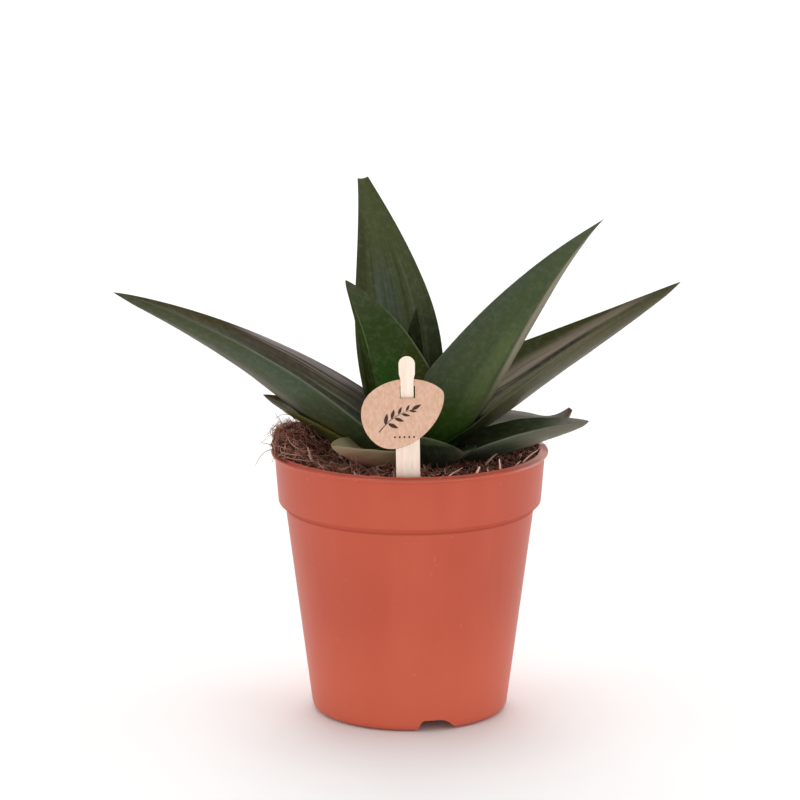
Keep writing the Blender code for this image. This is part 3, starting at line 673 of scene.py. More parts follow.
def wood_material(name, pale, tan, lean, grain_scale, stretch):
    """Wood of a pale tone and a tan one, whose grain runs upward, leaned back by an angle."""
    made, n, shader = new_material(name, 0.62, 0.3)
    turned_place = n.flow("ShaderNodeMapping", {"Vector": object_place(n),
                                                "Rotation": (math.radians(-lean), 0.0, 0.0)})
    grain = n.noise(turned_place * Vector((grain_scale, grain_scale, grain_scale / stretch)), 1.0, 4.0, 0.6)
    pores = n.noise(turned_place * Vector((2400.0, 2400.0, 2400.0 / stretch)), 1.0, 2.0)
    wood = n.blend(n.step(grain, 0.3, 0.72), pale, tan)
    wood = n.blend(n.step(pores, 0.58, 0.75) * 0.35, wood, paint(196, 150, 116))
    n.feed(shader.inputs["Base Color"], wood)
    bump(n, shader, grain * 0.5 + pores * 0.5, 0.08, 0.6)
    return made


def plain_material(name, color, roughness):
    """One colour with soft darker clouds in it."""
    made, n, shader = new_material(name, roughness)
    here = object_place(n)
    cloud = n.noise(here, 300.0, 3.0)
    darker = tuple(share * 0.72 for share in color[:3]) + (1.0,)
    n.feed(shader.inputs["Base Color"], n.blend(cloud, darker, color))
    return made


# ---------------------------------------------------------------- leaves
def leaf_recipe():
    """One leaf from its design sizes: a bent spine with channelled, keeled sections along it."""
    n = Recipe("leaf_blade")
    size = {name: n.ask(name) for name in LEAF_LENGTHS + LEAF_ANGLES + LEAF_SHARES}
    axis = n.ask("pot_axis", "Vector")
    seed = n.ask("seed")

    def heading(share):
        return size["azimuth"] + size["sweep"] * share

    def lean(share):
        rise = size["lean_tip"] - size["lean_root"]
        curl = size["curl"] * n.step(share, CURL_START, size["cut"])
        return size["lean_root"] + rise * share ** size["bend"] + curl

    def ahead(share):
        flat = n.math("COSINE", lean(share))
        rise = n.math("SINE", lean(share))
        turn = heading(share)
        return n.join(flat * n.math("COSINE", turn), flat * n.math("SINE", turn), rise)

    # The spine: each step goes ahead by the heading and lean at its middle.
    index = n.flow("GeometryNodeInputIndex")
    middle_share = (index + 0.5) / LEAF_RINGS * size["cut"]
    stride = size["length"] * size["cut"] / LEAF_RINGS
    walked = n.flow("GeometryNodeAccumulateField", {"Value": ahead(middle_share) * stride},
                    output="Trailing", data_type="FLOAT_VECTOR")
    root_reach = n.join(n.math("COSINE", size["azimuth"]), n.math("SINE", size["azimuth"]), 0.0)
    root = axis + root_reach * size["root_r"] + n.join(0.0, 0.0, size["root_z"])
    line = n.flow("GeometryNodeMeshLine", {"Count": LEAF_RINGS + 1})
    spine = n.flow("GeometryNodeSetPosition", {"Geometry": line, "Position": root + walked})

    # A unit tube, whose points say how far across, up and along the leaf they are.
    tube = n.flow("GeometryNodeMeshCylinder", {"Vertices": LEAF_AROUND, "Side Segments": LEAF_RINGS,
                                               "Radius": 1.0, "Depth": 1.0}, fill_type="NGON")
    across, turn, run = n.split(n.flow("GeometryNodeInputPosition"))
    run = run + 0.5
    share = run * size["cut"]
    row = n.math("ROUND", run * float(LEAF_RINGS))
    place = n.flow("GeometryNodeSampleIndex", {
        "Geometry": spine, "Value": n.flow("GeometryNodeInputPosition"), "Index": row},
        data_type="FLOAT_VECTOR")

    # Half the width along the leaf.
    taper = n.math("MAXIMUM", 1.0 - share ** size["fullness"], 0.0) ** size["sharpness"]
    near_root = n.math("MAXIMUM", 1.0 - share / size["waist_length"], 0.0)
    half = size["width"] * 0.5 * taper * (1.0 - size["waist"] * near_root * near_root)

    # The section: a dished face above, a keel below, a thin edge and soft ribs and waves.
    above = n.math("GREATER_THAN", turn, 0.0)
    edge = 0.5 * MM * n.math("MINIMUM", half / (2.0 * MM), 1.0)
    rim = n.math("MINIMUM", n.math("ABSOLUTE", turn) * 5.0, 1.0)
    dish = size["channel"] * across * across * half
    right = (1.0 - across) / (1.0 - size["keel_side"])
    left = (1.0 + across) / (1.0 + size["keel_side"])
    reach = n.math("SMOOTH_MIN", right, left, 0.08)
    belly = size["keel"] * half * n.math("MAXIMUM", reach, 0.0) ** 0.8
    ribs = n.noise(n.join(across * 9.0, share * 0.9, seed), 1.0, 2.0) - 0.5
    wave = n.noise(n.join(across * 0.8, share * 5.0, seed + 7.0), 1.0, 1.0) - 0.5
    relief = (ribs * 0.5 + wave * 1.4) * MM * taper * rim
    upper = edge * 0.5 * rim
    lower = (edge * 0.5 + belly) * -1.0 * rim
    height = dish - edge * 0.5 + above * upper + (1.0 - above) * lower + relief

    # The section's own directions, rolled about the leaf's line.
    line_turn = heading(share)
    side = n.join(n.math("SINE", line_turn) * -1.0, n.math("COSINE", line_turn), 0.0)
    forward = ahead(share)
    face = n.vector("CROSS_PRODUCT", forward, side)
    roll = size["roll"] + size["twist"] * share
    rolled_side = side * n.math("COSINE", roll) + face * n.math("SINE", roll)
    rolled_face = face * n.math("COSINE", roll) - side * n.math("SINE", roll)
    target = place + rolled_side * (across * half) + rolled_face * height

    marked = n.store(tube, "leaf_place", n.join(share, across, turn))
    blade = n.flow("GeometryNodeSetPosition", {"Geometry": marked, "Position": target})
    closed = n.flow("GeometryNodeMergeByDistance", {"Geometry": blade, "Distance": 0.02 * MM})
    n.end(n.flow("GeometryNodeSetShadeSmooth", {"Geometry": closed}))
    return n


def make_leaves():
    """Every leaf from the one recipe, each with its own sizes, seed and skin."""
    recipe = leaf_recipe()
    for number, (name, choices) in enumerate(LEAVES.items()):
        leaf = {**LEAF_DEFAULTS, **choices}
        leaf["lean_root"], leaf["lean_tip"] = leaf["lean"]
        values = {key: leaf[key] * MM for key in LEAF_LENGTHS}
        values.update({key: math.radians(leaf[key]) for key in LEAF_ANGLES})
        values.update({key: float(leaf[key]) for key in LEAF_SHARES})
        values["pot_axis"] = POT_AXIS
        values["seed"] = 3.7 * number
        values["Material"] = leaf_material(name + "_skin", LEAF_LOOKS[leaf["look"]])
        blade = grow(name + "_blade", recipe, values)
        settle_piece(blade, "young_leaf" if leaf["look"] in ("young", "heart") else "leaf", name)


# ---------------------------------------------------------------- pot
def loft(name, rings, first_pole=None, last_pole=None):
    """A closed mesh through equal rings of points, ended by a flat cap or by a pole."""
    shape = bmesh.new()
    rows = [[shape.verts.new(point * MM) for point in ring] for ring in rings]
    count = len(rows[0])
    for low, high in zip(rows, rows[1:]):
        for i in range(count):
            j = (i + 1) % count
            shape.faces.new((low[i], low[j], high[j], high[i]))
    for row, pole in ((rows[0], first_pole), (rows[-1], last_pole)):
        if pole is None:
            shape.faces.new(row)
            continue
        tip = shape.verts.new(pole * MM)
        for i in range(count):
            shape.faces.new((row[i], row[(i + 1) % count], tip))
    bmesh.ops.recalc_face_normals(shape, faces=shape.faces)
    mesh = bpy.data.meshes.new(name)
    shape.to_mesh(mesh)
    shape.free()
    return mesh


def ring(radius, height, segments):
    """Points of a level circle about the origin."""
    turn = [math.tau * i / segments for i in range(segments)]
    return [Vector((radius * math.cos(a), radius * math.sin(a), height)) for a in turn]


def rounded(corners, steps=5):
    """Turns corners of (radius, height, round) into a profile with each corner rounded."""
    spots = [Vector((radius, height)) for radius, height, _ in corners]
    profile = [spots[0]]
    for before, here, after, corner in zip(spots, spots[1:], spots[2:], corners[1:]):
        size = corner[2]
        if size == 0.0:
            profile.append(here)
            continue
        start = here + (before - here).normalized() * size
        end = here + (after - here).normalized() * size
        for i in range(steps + 1):
            t = i / steps
            profile.append(start * (1 - t) ** 2 + here * 2 * t * (1 - t) + end * t**2)
    return profile + [spots[-1]]


def inner_radius(height):
    """The radius of the pot's inside at a height."""
    if height <= CREASE[1]:
        share = (height - FOOT_ROUND) / (CREASE[1] - FOOT_ROUND)
        return FOOT_RADIUS + share * (CREASE[0] - FOOT_RADIUS) - POT_WALL
    if height <= COLLAR_LOW[1]:
        share = (height - CREASE[1]) / (COLLAR_LOW[1] - CREASE[1])
        return CREASE[0] + share * (COLLAR_LOW[0] - CREASE[0]) - POT_WALL
    share = (height - COLLAR_LOW[1]) / (POT_HEIGHT - COLLAR_LOW[1])
    low = COLLAR_LOW[0] - POT_WALL
    return low + share * (INSIDE_TOP_RADIUS - low)


def pot_corners():
    """Radius, height and rounding of each corner, from the outside of the floor round to its inside."""
    floor_top = BASE_RECESS + POT_WALL
    return [
        (8.0, BASE_RECESS, 0.0),
        (FOOT_INNER_RADIUS - 0.1, BASE_RECESS, 0.4),
        (FOOT_INNER_RADIUS, 0.0, 0.3),
        (FOOT_RADIUS - FOOT_ROUND, 0.0, 0.0),
        (FOOT_RADIUS - 0.35, 0.0, FOOT_ROUND - 0.4),
        (FOOT_RADIUS, FOOT_ROUND, 0.0),
        (CREASE[0], CREASE[1], 0.35),
        (COLLAR_LOW[0], COLLAR_LOW[1], 0.7),
        (COLLAR_TOP[0] + 0.1, COLLAR_TOP[1] + 1.4, 0.4),
        (LIP_RADIUS + LIP_FLARE, POT_HEIGHT - 0.75, 0.15),
        (LIP_RADIUS + 0.7 * LIP_FLARE, POT_HEIGHT - LIP_STEP, 0.2),
        (LIP_GROOVE_RADIUS + 0.1, POT_HEIGHT - LIP_STEP, 0.1),
        (LIP_GROOVE_RADIUS - 0.1, POT_HEIGHT + LIP_STEP, 0.15),
        (LIP_GROOVE_RADIUS - 0.9, POT_HEIGHT + LIP_STEP, 0.2),
        (LIP_GROOVE_RADIUS - 1.0, POT_HEIGHT - 1.8, 0.5),
        (inner_radius(COLLAR_LOW[1]), COLLAR_LOW[1], 0.6),
        (inner_radius(CREASE[1]), CREASE[1], 0.6),
        (inner_radius(floor_top), floor_top, 1.5),
        (8.0, floor_top, 0.0),
    ]


def cutter(name, mesh):
    """An object that cuts others and is never shown."""
    thing = add_object(name, mesh)
    thing.hide_render = True
    return thing


def cut(thing, tools):
    """Takes the tools' shapes out of a thing, and removes the tools."""
    for tool in tools:
        step = thing.modifiers.new(tool.name, "BOOLEAN")
        step.operation = "DIFFERENCE"
        step.solver = "EXACT"
        step.object = tool
    plain(thing)
    for tool in tools:
        bpy.data.objects.remove(tool)


def notch_outline():
    """An arch through the foot: steep on one side, with a long curve on the other."""
    steep_side = [(-0.52, -0.8), (-0.45, -0.1), (-0.42, 0.3), (-0.39, 0.62), (-0.35, 0.87), (-0.28, 1.0)]
    long_side = [(0.1, 1.0), (0.2, 0.95), (0.28, 0.85), (0.37, 0.65), (0.45, 0.4), (0.56, 0.08),
                 (0.66, -0.2), (0.8, -0.8)]
    return [(share * NOTCH_WIDTH, height * NOTCH_HEIGHT) for share, height in steep_side + long_side]


def notch_tools():
    """A cutter through the foot ring for each notch."""
    foot_middle = (FOOT_RADIUS + FOOT_INNER_RADIUS) / 2
    tools = []
    for azimuth in NOTCH_AZIMUTHS:
        ends = (-NOTCH_CUT / 2, NOTCH_CUT / 2)
        sides = [[Vector((x, y, z)) for x, z in notch_outline()] for y in ends]
        tool = cutter("notch_tool", loft("notch_tool", sides))
        turn = Matrix.Rotation(math.radians(azimuth + 90.0), 4, "Z")
        tool.data.transform(turn @ Matrix.Translation(Vector((0.0, -foot_middle, 0.0)) * MM))
        tools.append(tool)
    return tools


def drain_tools():
    """A round cutter through the floor for each hole."""
    low = BASE_RECESS - DRAIN_CUT_SPARE
    high = BASE_RECESS + POT_WALL + DRAIN_CUT_SPARE
    tools = []
    for i in range(DRAIN_HOLES):
        angle = math.radians(DRAIN_TURN + 360.0 * i / DRAIN_HOLES)
        spot = Vector((math.cos(angle), math.sin(angle), 0.0)) * DRAIN_CIRCLE_RADIUS
        rims = [ring(DRAIN_HOLE_RADIUS, z, DRAIN_SEGMENTS) for z in (low, high)]
        tool = cutter("drain_tool", loft("drain_tool", rims))
        tool.data.transform(Matrix.Translation(spot * MM))
        tools.append(tool)
    return tools


def make_pot():
    """The moulding, turned from its corners, with drainage notches in its foot and holes in its floor."""
    rings = [ring(point.x, point.y, POT_SEGMENTS) for point in rounded(pot_corners())]
    middle_low = Vector((0.0, 0.0, BASE_RECESS))
    middle_high = Vector((0.0, 0.0, BASE_RECESS + POT_WALL))
    pot = add_object("pot_moulding", loft("pot_moulding", rings, middle_low, middle_high))
    cut(pot, notch_tools() + drain_tools())
    pot.data.transform(Matrix.Translation(POT_AXIS))
    pot.data.shade_smooth()
    pot.data.set_sharp_from_angle(angle=math.radians(32.0))
    pot.data.materials.clear()
    pot.data.materials.append(pot_material())
    settle_piece(pot, "plastic", "pot")


# ---------------------------------------------------------------- soil
def hump(shape, x, y):
    """How much a soft mound or hollow adds to the soil's height at a spot."""
    across = ((x - shape["x"]) / shape["spread_x"]) ** 2 + ((y - shape["y"]) / shape["spread_y"]) ** 2
    return shape["height"] * math.exp(-across)


def soil_height(x, y):
    """The soil's height at a spot: its mounds and hollows, with crumbs and lumps over them."""
    crumbs = 0.5 * math.sin(0.45 * x + 1.3) * math.sin(0.38 * y + 0.4) + 0.3 * math.sin(0.9 * x - 0.7 * y)
    lumps = 1.4 * noise.fractal(Vector((x * 0.22, y * 0.22, 4.0)), 0.7, 2.0, 5)
    return SOIL_LEVEL + sum(hump(part, x, y) for part in SOIL_SHAPES) + crumbs + lumps


TOP_RING = 6  # the first of the soil's rings that lies on its open top


def soil_rings():
    """Rings of the soil's body: up along the pot's wall, out over the lip at the mound, and in on top."""
    rings = []
    floor = BASE_RECESS + POT_WALL + 0.3
    levels = (floor, floor + 2.2, 35.0, CREASE[1], COLLAR_LOW[1])
    for height, inset in zip(levels, (2.2, 0.0, 0.0, 0.0, 0.0)):
        rings.append(ring(inner_radius(height) - SOIL_WALL_GAP - inset, height, SOIL_SEGMENTS))
    wall = []
    outline = []
    edge = inner_radius(COLLAR_TOP[1] - 3.0) - SOIL_WALL_GAP
    for point in ring(edge, 0.0, SOIL_SEGMENTS):
        top = soil_height(point.x, point.y)
        over = min(1.0, max(0.0, (top - POT_HEIGHT - 1.4) / 2.5))
        height = min(top - 0.8, POT_HEIGHT + 0.4)
        wall.append(Vector((point.x, point.y, height)))
        reach = 1.0 + over * (SOIL_OVERHANG_RADIUS / edge - 1.0)
        outline.append(Vector((point.x * reach, point.y * reach, height + 0.15 + 0.3 * over)))
    rings += [wall, outline]
    for i in range(1, SOIL_TOP_RINGS):
        share = 1.0 - i / SOIL_TOP_RINGS
        spots = [(point.x * share, point.y * share) for point in outline]
        rings.append([Vector((x, y, soil_height(x, y))) for x, y in spots])
    return rings


def soil_surface():
    """The open top of the soil, for what lies loose on it."""
    rows = soil_rings()[TOP_RING:]
    shape = bmesh.new()
    made = [[shape.verts.new(point * MM) for point in row] for row in rows]
    for low, high in zip(made, made[1:]):
        for i in range(SOIL_SEGMENTS):
            j = (i + 1) % SOIL_SEGMENTS
            shape.faces.new((low[i], low[j], high[j], high[i]))
    mesh = bpy.data.meshes.new("soil_surface")
    shape.to_mesh(mesh)
    shape.free()
    mesh.transform(Matrix.Translation(POT_AXIS))
    return mesh


def scatter(n, surface, density, seed):
    """Points on the soil, but none under the crown, where the leaves lie close to it."""
    x, y, _ = n.split(n.flow("GeometryNodeInputPosition") - POT_AXIS)
    bare = n.step(n.math("SQRT", x * x + y * y), BARE_RADIUS * MM, (BARE_RADIUS + 3.0) * MM)
    inputs = {"Mesh": surface, "Density": density * bare, "Seed": seed}
    return n.add("GeometryNodeDistributePointsOnFaces", inputs, distribute_method="RANDOM")


FIBRE_POINTS = 9


def fibre_recipe():
    """Loose coir fibres: short curved hairs that lie on a surface and lift at their ends."""
    n = Recipe("coir_fibres")
    surface = n.ask("Surface", "Geometry")
    density = n.ask("density")
    length = n.ask("length")
    thickness = n.ask("thickness")
    lift = n.ask("lift")
    seed = n.ask("seed", "Int")
    points = scatter(n, surface, density, seed)
    flat = n.turned(points.outputs["Rotation"], (0.0, 0.0, 1.0), n.random(0.0, math.tau, 1))
    turn = n.turned(flat, (0.0, 1.0, 0.0), n.random(-0.5, 0.25, 2))
    half = Vector((0.5, 0.0, 0.0))
    hair = n.flow("GeometryNodeCurvePrimitiveLine", {"Start": half * -1.0, "End": half})
    hair = n.flow("GeometryNodeResampleCurve", {"Curve": hair, "Count": FIBRE_POINTS})

    size = length * n.random(0.35, 1.3, 3)
    placed = n.flow("GeometryNodeInstanceOnPoints", {"Points": points.outputs["Points"], "Instance": hair,
                                                     "Rotation": turn, "Scale": n.join(size, size, size)})
    placed = n.store(placed, "tint", n.random(0.0, 1.0, 4), "FLOAT", "INSTANCE")
    placed = n.store(placed, "thick", n.random(0.45, 1.3, 5), "FLOAT", "INSTANCE")
    real = n.flow("GeometryNodeRealizeInstances", {"Geometry": placed})

    # Each hair bends along a soft noise and lifts toward its ends.
    here = n.flow("GeometryNodeInputPosition")
    tint = n.stored("tint")
    along = n.flow("GeometryNodeSplineParameter")
    drift = n.join(0.0, 0.0, tint * 3.0)
    curl = n.noise_arrow(here + drift, 130.0) * (length * 0.75) * Vector((1.0, 1.0, 0.3))
    ends = n.math("ABSOLUTE", along - 0.5) * 2.0
    rise = n.join(0.0, 0.0, lift * ends * ends * tint + 0.25 * MM)
    bent = n.flow("GeometryNodeSetPosition", {"Geometry": real, "Offset": curl + rise})

    # Below the lip it is drawn back inside the wall.
    x, y, z = n.split(n.flow("GeometryNodeInputPosition") - POT_AXIS)
    reach = n.math("SQRT", x * x + y * y)
    inside = n.math("LESS_THAN", z, (POT_HEIGHT + 0.2) * MM) * n.math("GREATER_THAN", x, FREE_SIDE_X * MM)
    excess = n.math("MAXIMUM", reach - FIBRE_REACH * MM, 0.0) / reach * inside
    inward = n.join(x * excess * -1.0, y * excess * -1.0, 0.0)
    bent = n.flow("GeometryNodeSetPosition", {"Geometry": bent, "Offset": inward})

    # A three-sided tube along it, thinner at its ends.
    radius = thickness * n.stored("thick") * (1.0 - ends * 0.55)
    sized = n.flow("GeometryNodeSetCurveRadius", {"Curve": bent, "Radius": radius})
    profile = n.flow("GeometryNodeCurvePrimitiveCircle", {"Resolution": 3, "Radius": 1.0})
    tubes = n.add("GeometryNodeCurveToMesh", {"Curve": sized, "Profile Curve": profile, "Fill Caps": True})
    n.feed(tubes.inputs["Scale"], radius)
    n.end(n.flow("GeometryNodeSetShadeSmooth", {"Geometry": Flow(n, tubes.outputs[0])}))
    return n


def crumb_recipe():
    """Loose crumbs and flakes of peat and bark, each a small rough stone shape."""
    n = Recipe("soil_crumbs")
    surface = n.ask("Surface", "Geometry")
    density = n.ask("density")
    size = n.ask("size")
    flatness = n.ask("flatness")
    seed = n.ask("seed", "Int")
    points = scatter(n, surface, density, seed)
    crumb = n.flow("GeometryNodeMeshIcoSphere", {"Radius": 0.5, "Subdivisions": 1})
    turn = n.turned(points.outputs["Rotation"], (0.3, 0.2, 1.0), n.random(0.0, math.tau, 1))
    big = size * n.random(0.35, 1.25, 2)
    scale = n.join(big, big * n.random(0.4, 1.0, 3), big * flatness)
    placed = n.flow("GeometryNodeInstanceOnPoints", {"Points": points.outputs["Points"], "Instance": crumb,
                                                     "Rotation": turn, "Scale": scale})
    placed = n.store(placed, "tint", n.random(0.0, 1.0, 4), "FLOAT", "INSTANCE")
    real = n.flow("GeometryNodeRealizeInstances", {"Geometry": placed})
    here = n.flow("GeometryNodeInputPosition")
    rough = n.noise_arrow(here, 1100.0, 2.0) * (size * 0.7)
    broken = n.flow("GeometryNodeSetPosition", {"Geometry": real, "Offset": rough})
    n.end(broken)
    return n


def bent_hair(name, guides, thickness, steps=20):
    """One fibre along a smooth bend through its guide points, thinner toward its free end."""
    rings = []
    for i in range(steps + 1):
        t = i / steps
        points = [Vector(guide) for guide in guides]
        while len(points) > 1:
            heading = points[-1] - points[0]
            points = [a.lerp(b, t) for a, b in zip(points, points[1:])]
        side = heading.cross(Vector((0.0, 1.0, 0.0))).normalized()
        up = heading.cross(side).normalized()
        radius = thickness * (1.0 - 0.6 * t)
        turns = [math.tau * j / 6 for j in range(6)]
        rings.append([points[0] + (side * math.cos(a) + up * math.sin(a)) * radius for a in turns])
    mesh = loft(name, rings)
    mesh.transform(Matrix.Translation(POT_AXIS))
    return mesh


def make_soil_body():
    """The fine-grained body that fills the pot."""
    rings = soil_rings()
    low = Vector((0.0, 0.0, rings[0][0].z))
    high = Vector((0.0, 0.0, soil_height(0.0, 0.0)))
    body = add_object("soil_body", loft("soil_body", rings, low, high))
    body.data.transform(Matrix.Translation(POT_AXIS))
    body.data.shade_smooth()
    body.data.materials.append(soil_material("packed_coir", paint(56, 32, 24), paint(132, 84, 68)))
    settle_piece(body, "soil", "soil")


def make_loose_soil():
    """The fibres, crumbs and flakes that lie on the soil, and the few that stand up at its rim."""
    brown = soil_material("coir_fibre", paint(116, 66, 52), paint(214, 160, 138))
    straw = soil_material("pale_straw", paint(206, 150, 132), paint(240, 206, 188))
    stub = soil_material("straw_stub", paint(238, 190, 170), paint(250, 222, 206))
    peat = soil_material("peat_crumb", paint(60, 32, 24), paint(152, 88, 66))
    finishes = dict(fibres_fine=brown, fibres_coarse=brown, straw_bits=straw, pale_threads=straw,
                    peat_crumbs=peat, bark_flakes=peat)
    for recipe, kinds in ((fibre_recipe(), FIBRES), (crumb_recipe(), CRUMBS)):
        for name, sizes in kinds.items():
            values = {key: size * MM if key in IN_MILLIMETRES else size for key, size in sizes.items()}
            values["Material"] = finishes[name]
            settle_piece(grow(name, recipe, values, soil_surface()), "soil")
    singles = [("stray_hair", guides, STRAY_HAIR_THICKNESS, brown) for guides in STRAY_HAIRS]
    singles += [("straw_stub", guides, thickness, stub) for guides, thickness in STRAW_STUBS]
    for name, guides, thickness, finish in singles:
        hair = add_object(name, bent_hair(name, guides, thickness))
        hair.data.materials.append(finish)
        settle_piece(hair, "soil")


# ---------------------------------------------------------------- label
def stake_matrix():
    """From the stake's own frame, with its cut end at the origin, to its place in the soil."""
    lean = Matrix.Rotation(math.radians(STAKE_LEAN), 4, "X")
    turn = Matrix.Rotation(math.radians(STAKE_TURN), 4, "Y")
    return Matrix.Translation(POT_AXIS + Vector(STAKE_FOOT) * MM) @ turn @ lean


def prism(name, outline, thickness):
    """A flat plate from its outline, half its thickness to each side."""
    half = thickness / 2
    return loft(name, [[Vector((x, y, z)) for x, z in outline] for y in (-half, half)])


def soften_edges(thing, width):
    """Adds a small bevel, in millimetres, on the sharp edges."""
    step = thing.modifiers.new("softened_edges", "BEVEL")
    step.width = width * MM
    step.segments = 3
    step.limit_method = "ANGLE"
    step.angle_limit = math.radians(50.0)
    step.harden_normals = False


def stake_outline():
    """A flat strip with a pointed end, a narrow neck above its shoulders and a round head."""
    low, neck, head = STAKE_WIDTH / 2, STAKE_NECK_WIDTH / 2, STAKE_HEAD_WIDTH / 2
    right = [(0.8, 0.0), (low, 9.0), (low, SHOULDER_HEIGHT), (low - 0.5, SHOULDER_HEIGHT + 0.9),
             (neck + 0.2, NECK_HEIGHT - 0.5), (neck, NECK_HEIGHT + 0.3), (neck, NECK_TOP_HEIGHT - 0.2),
             (neck + 0.15, NECK_TOP_HEIGHT + 0.8), (head - 0.08, HEAD_HEIGHT - 0.6)]
    centre = STAKE_LENGTH - STAKE_HEAD_WIDTH / 2
    for step in range(12):
        angle = math.radians(7.5 * step)
        right.append((head * math.cos(angle), centre + head * math.sin(angle)))
    return right + [(-x, z) for x, z in reversed(right)]


def disc_outline():
    """A pebble with one blunt corner at the upper right: its reach along each direction is a wave."""
    outline = []
    for i in range(DISC_SEGMENTS):
        angle = math.tau * i / DISC_SEGMENTS
        oval = 2 * (angle - math.radians(DISC_OVAL["turn"]))
        corner = 3 * (angle - math.radians(DISC_CORNERS["turn"]))
        reach = DISC_RADIUS + DISC_OVAL["size"] * math.cos(oval) + DISC_CORNERS["size"] * math.cos(corner)
        slip = -2 * DISC_OVAL["size"] * math.sin(oval) - 3 * DISC_CORNERS["size"] * math.sin(corner)
        x = reach * math.cos(angle) - slip * math.sin(angle)
        z = reach * math.sin(angle) + slip * math.cos(angle)
        outline.append((DISC_CENTRE_X + x, z - DISC_CENTRE_BELOW_CROSSING))
    return outline


def sprig_outlines():
    """A little sprig: a curved stem, pairs of pointed leaves along it and one leaf at its end."""
    turn = math.radians(SPRIG_TURN)
    foot = Vector(SPRIG_SPOT)

    def stem(share):
        bow = STEM_BOW * math.sin(math.pi * share)
        up = share * STEM_LENGTH
        return foot + Vector((up * math.sin(turn) - bow * math.cos(turn),
                              up * math.cos(turn) + bow * math.sin(turn)))

    def leaf(base, heading, length, width):
        along = Vector((math.sin(heading), math.cos(heading)))
        side = Vector((along.y, -along.x))
        edge = []
        for i in range(13):
            share = i / 12
            edge.append((share, width / 2 * math.sin(math.pi * share**0.8) ** 0.9))
        spots = [base + along * share * length + side * reach for share, reach in edge]
        spots += [base + along * share * length - side * reach for share, reach in reversed(edge[1:-1])]
        return [(spot.x, spot.y) for spot in spots]

    steps = [i / 24 for i in range(25)]
    left = [stem(share) + Vector((-STEM_HALF_WIDTH * (1.3 - share), 0.05)) for share in steps]
    right = [stem(share) + Vector((STEM_HALF_WIDTH * (1.3 - share), -0.05)) for share in steps]
    outlines = [[(spot.x, spot.y) for spot in left + right[::-1]]]
    for i in range(SPRIG_PAIRS):
        share = 0.26 + 0.62 * i / (SPRIG_PAIRS - 1)
        size = SPRIG_LEAF["length"] + SPRIG_CHANGE["length"] * i
        spread = math.radians(SPRIG_LEAF["spread"] + SPRIG_CHANGE["spread"] * i)
        for side in (-1, 1):
            heading = turn + side * spread + 0.12
            base = stem(share + 0.04 * side) + Vector((math.sin(heading), math.cos(heading))) * 0.3
            outlines.append(leaf(base, heading, size, size * SPRIG_LEAF["slimness"]))
    outlines.append(leaf(stem(1.0), turn + 0.1, END_LEAF["length"], END_LEAF["width"]))
    for i in range(DOTS["count"]):
        middle = foot + Vector(DOTS["start"]) + Vector((i * DOTS["spacing"], 0.0))
        turns = [math.tau * j / 16 for j in range(16)]
        outlines.append([(middle.x + DOTS["radius"] * math.cos(a), middle.y + DOTS["radius"] * math.sin(a))
                         for a in turns])
    return outlines


def make_stake():
    """The flat strip, pushed into the soil just behind the lip."""
    stake = add_object("label_stake_wood", prism("label_stake_wood", stake_outline(), STAKE_THICKNESS))
    soften_edges(stake, 0.14)
    plain(stake)
    stake.data.transform(stake_matrix())
    stake.data.materials.append(
        wood_material("birch_strip", paint(255, 242, 228), paint(252, 226, 208), STAKE_LEAN, 900.0, 14.0))
    settle_piece(stake, "stake_wood", "label_stake")


def disc_matrix():
    """From the disc's own frame, with its crossing with the stake at the origin, to its place."""
    up = Matrix.Translation(Vector((0.0, 0.0, DISC_CROSSING_HEIGHT)) * MM)
    return stake_matrix() @ up @ Matrix.Rotation(math.radians(-DISC_TILT), 4, "X")


def make_disc():
    """The disc with its slot, through which the stake passes, and with its edge faces in a darker brown."""
    disc = add_object("label_disc_wood", prism("label_disc_wood", disc_outline(), DISC_THICKNESS))
    slope = math.sin(math.radians(DISC_TILT))
    slot_half = (STAKE_THICKNESS + DISC_THICKNESS) / 2 / slope + SLOT_SPARE
    left = -SLOT_WIDTH / 2
    right = SLOT_WIDTH / 2 + SLOT_SHADOW_GAP
    corners = [(right, -slot_half), (right, slot_half), (left, slot_half), (left, -slot_half)]
    cut(disc, [cutter("slot_tool", prism("slot_tool", corners, 6.0))])
    soften_edges(disc, 0.12)
    plain(disc)
    disc.data.transform(disc_matrix())
    disc.data.materials.append(
        wood_material("birch_veneer", paint(228, 188, 164), paint(212, 168, 140), 0.0, 1100.0, 2.5))
    # The edge faces take a darker brown than the disc's faces.
    disc.data.materials.append(plain_material("dark_brown_edge", paint(112, 72, 50), 0.7))
    out_of_face = disc_matrix().to_3x3() @ Vector((0.0, 1.0, 0.0))
    for face in disc.data.polygons:
        face.material_index = int(abs(face.normal.dot(out_of_face)) < 0.3)
    settle_piece(disc, "disc_wood", "label_disc")


def make_sprig():
    """The burnt drawing on the disc: thin plates that stand a hair proud of its face."""
    shape = bmesh.new()
    for outline in sprig_outlines():
        plate = prism("plate", outline, BURN_DEPTH * 2)
        shape.from_mesh(plate)
        bpy.data.meshes.remove(plate)
    mesh = bpy.data.meshes.new("burnt_sprig")
    shape.to_mesh(mesh)
    shape.free()
    mesh.transform(disc_matrix() @ Matrix.Translation(Vector((0.0, -DISC_THICKNESS / 2, 0.0)) * MM))
    mesh.materials.append(plain_material("burnt_drawing", paint(66, 38, 30), 0.75))
    settle_piece(add_object("burnt_sprig", mesh), "disc_wood")


# ---------------------------------------------------------------- studio
CAMERA_LENS = 168.75
CAMERA_SENSOR = 36.0
CAMERA_TARGET = (-3.2, 0.0, 103.3)  # from the pot's axis, as the camera's place
CAMERA_PLACE = (-3.2, -1200.0, 357.0)


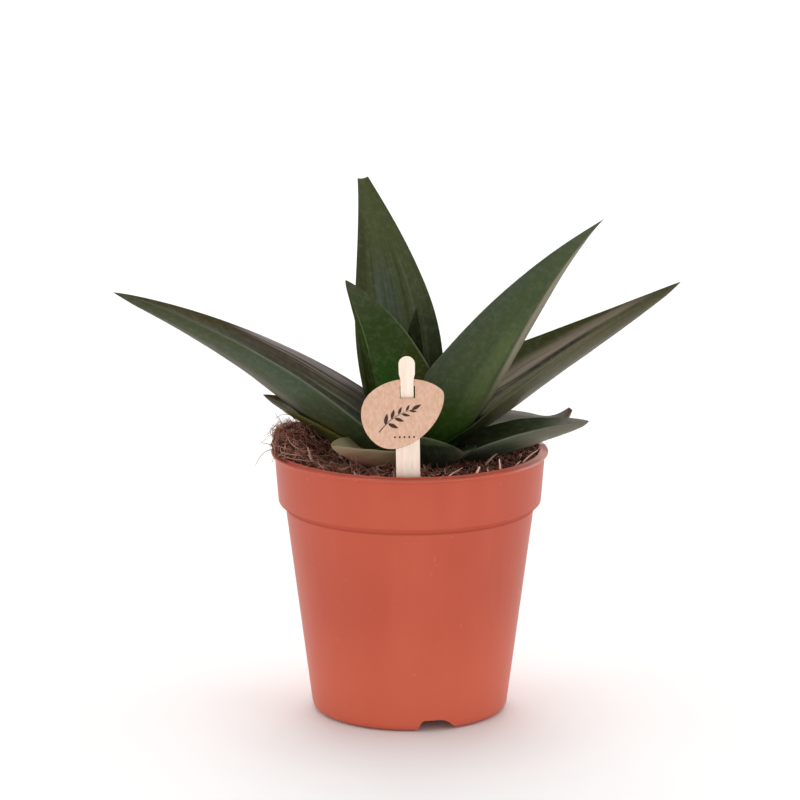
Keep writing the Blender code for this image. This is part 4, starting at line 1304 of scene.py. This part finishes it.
def area_light(name, spot, target, size, power):
    """A round soft light, in metres and watts, that faces its target."""
    lamp = bpy.data.lights.new(name, "AREA")
    lamp.shape = "DISK"
    lamp.size = size
    lamp.energy = power
    thing = add_object(name, lamp)
    thing.location = spot
    thing.rotation_euler = (Vector(target) - Vector(spot)).to_track_quat("-Z", "Y").to_euler()


def make_world():
    """White surroundings, brighter from behind the object."""
    world = bpy.data.worlds.new("white_room")
    bpy.context.scene.world = world
    world.use_nodes = True
    n = Nodes(world.node_tree)
    towards = n.split(n.flow("ShaderNodeTexCoord", output="Generated"))[1]
    sky = world.node_tree.nodes["Background"]
    sky.inputs["Color"].default_value = (1.0, 1.0, 1.0, 1.0)
    n.feed(sky.inputs["Strength"], 0.4 + n.step(towards, -0.75, 0.1) * 0.45)


def make_lights():
    """Soft light from above, from both sides, from the front and on the floor behind."""
    middle = (CAD_LOW + CAD_HIGH) / 2
    area_light("top_softbox", (0.0, 0.2, 1.2), middle, 0.9, 3.2)
    area_light("backdrop_softbox", (0.0, 2.6, 1.8), (0.0, 2.6, 0.0), 2.6, 45.0)
    area_light("left_softbox", (-0.9, -0.95, 0.75), middle, 0.8, 1.8)
    area_light("right_softbox", (1.0, -0.85, 0.6), middle, 0.8, 2.0)
    area_light("front_softbox", (-0.1, -1.7, 0.12), middle, 1.2, 8.8)


def make_floor():
    """A plain pale floor, a hair below the pot's foot."""
    floor = bmesh.new()
    bmesh.ops.create_grid(floor, x_segments=1, y_segments=1, size=4.0)
    mesh = bpy.data.meshes.new("studio_floor")
    floor.to_mesh(mesh)
    floor.free()
    thing = add_object("studio_floor", mesh)
    thing.location = (0.0, 0.0, -0.0002)
    made, _, shader = new_material("pale_floor", 0.9, 0.1)
    shader.inputs["Base Color"].default_value = (0.92, 0.92, 0.91, 1.0)
    mesh.materials.append(made)


def make_camera():
    """A long lens, from the front and a little above."""
    lens = bpy.data.cameras.new("camera")
    lens.lens = CAMERA_LENS
    lens.sensor_width = CAMERA_SENSOR
    lens.clip_start = 0.05
    lens.clip_end = 20.0
    camera = add_object("camera", lens)
    target = POT_AXIS + Vector(CAMERA_TARGET) * MM
    camera.location = POT_AXIS + Vector(CAMERA_PLACE) * MM
    camera.rotation_euler = (target - camera.location).to_track_quat("-Z", "Y").to_euler()
    bpy.context.scene.camera = camera


def finish_crown():
    """The crown is the CAD's own node, in a finish of its own."""
    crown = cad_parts["root_crown"]
    crown.data.materials.clear()
    crown.data.materials.append(plain_material("pale_crown", paint(120, 130, 70), 0.6))


bpy.context.scene.view_settings.view_transform = "Standard"
make_camera()
make_world()
make_lights()
make_floor()
make_pot()
make_soil_body()
make_loose_soil()
make_leaves()
make_stake()
make_disc()
make_sprig()
finish_crown()
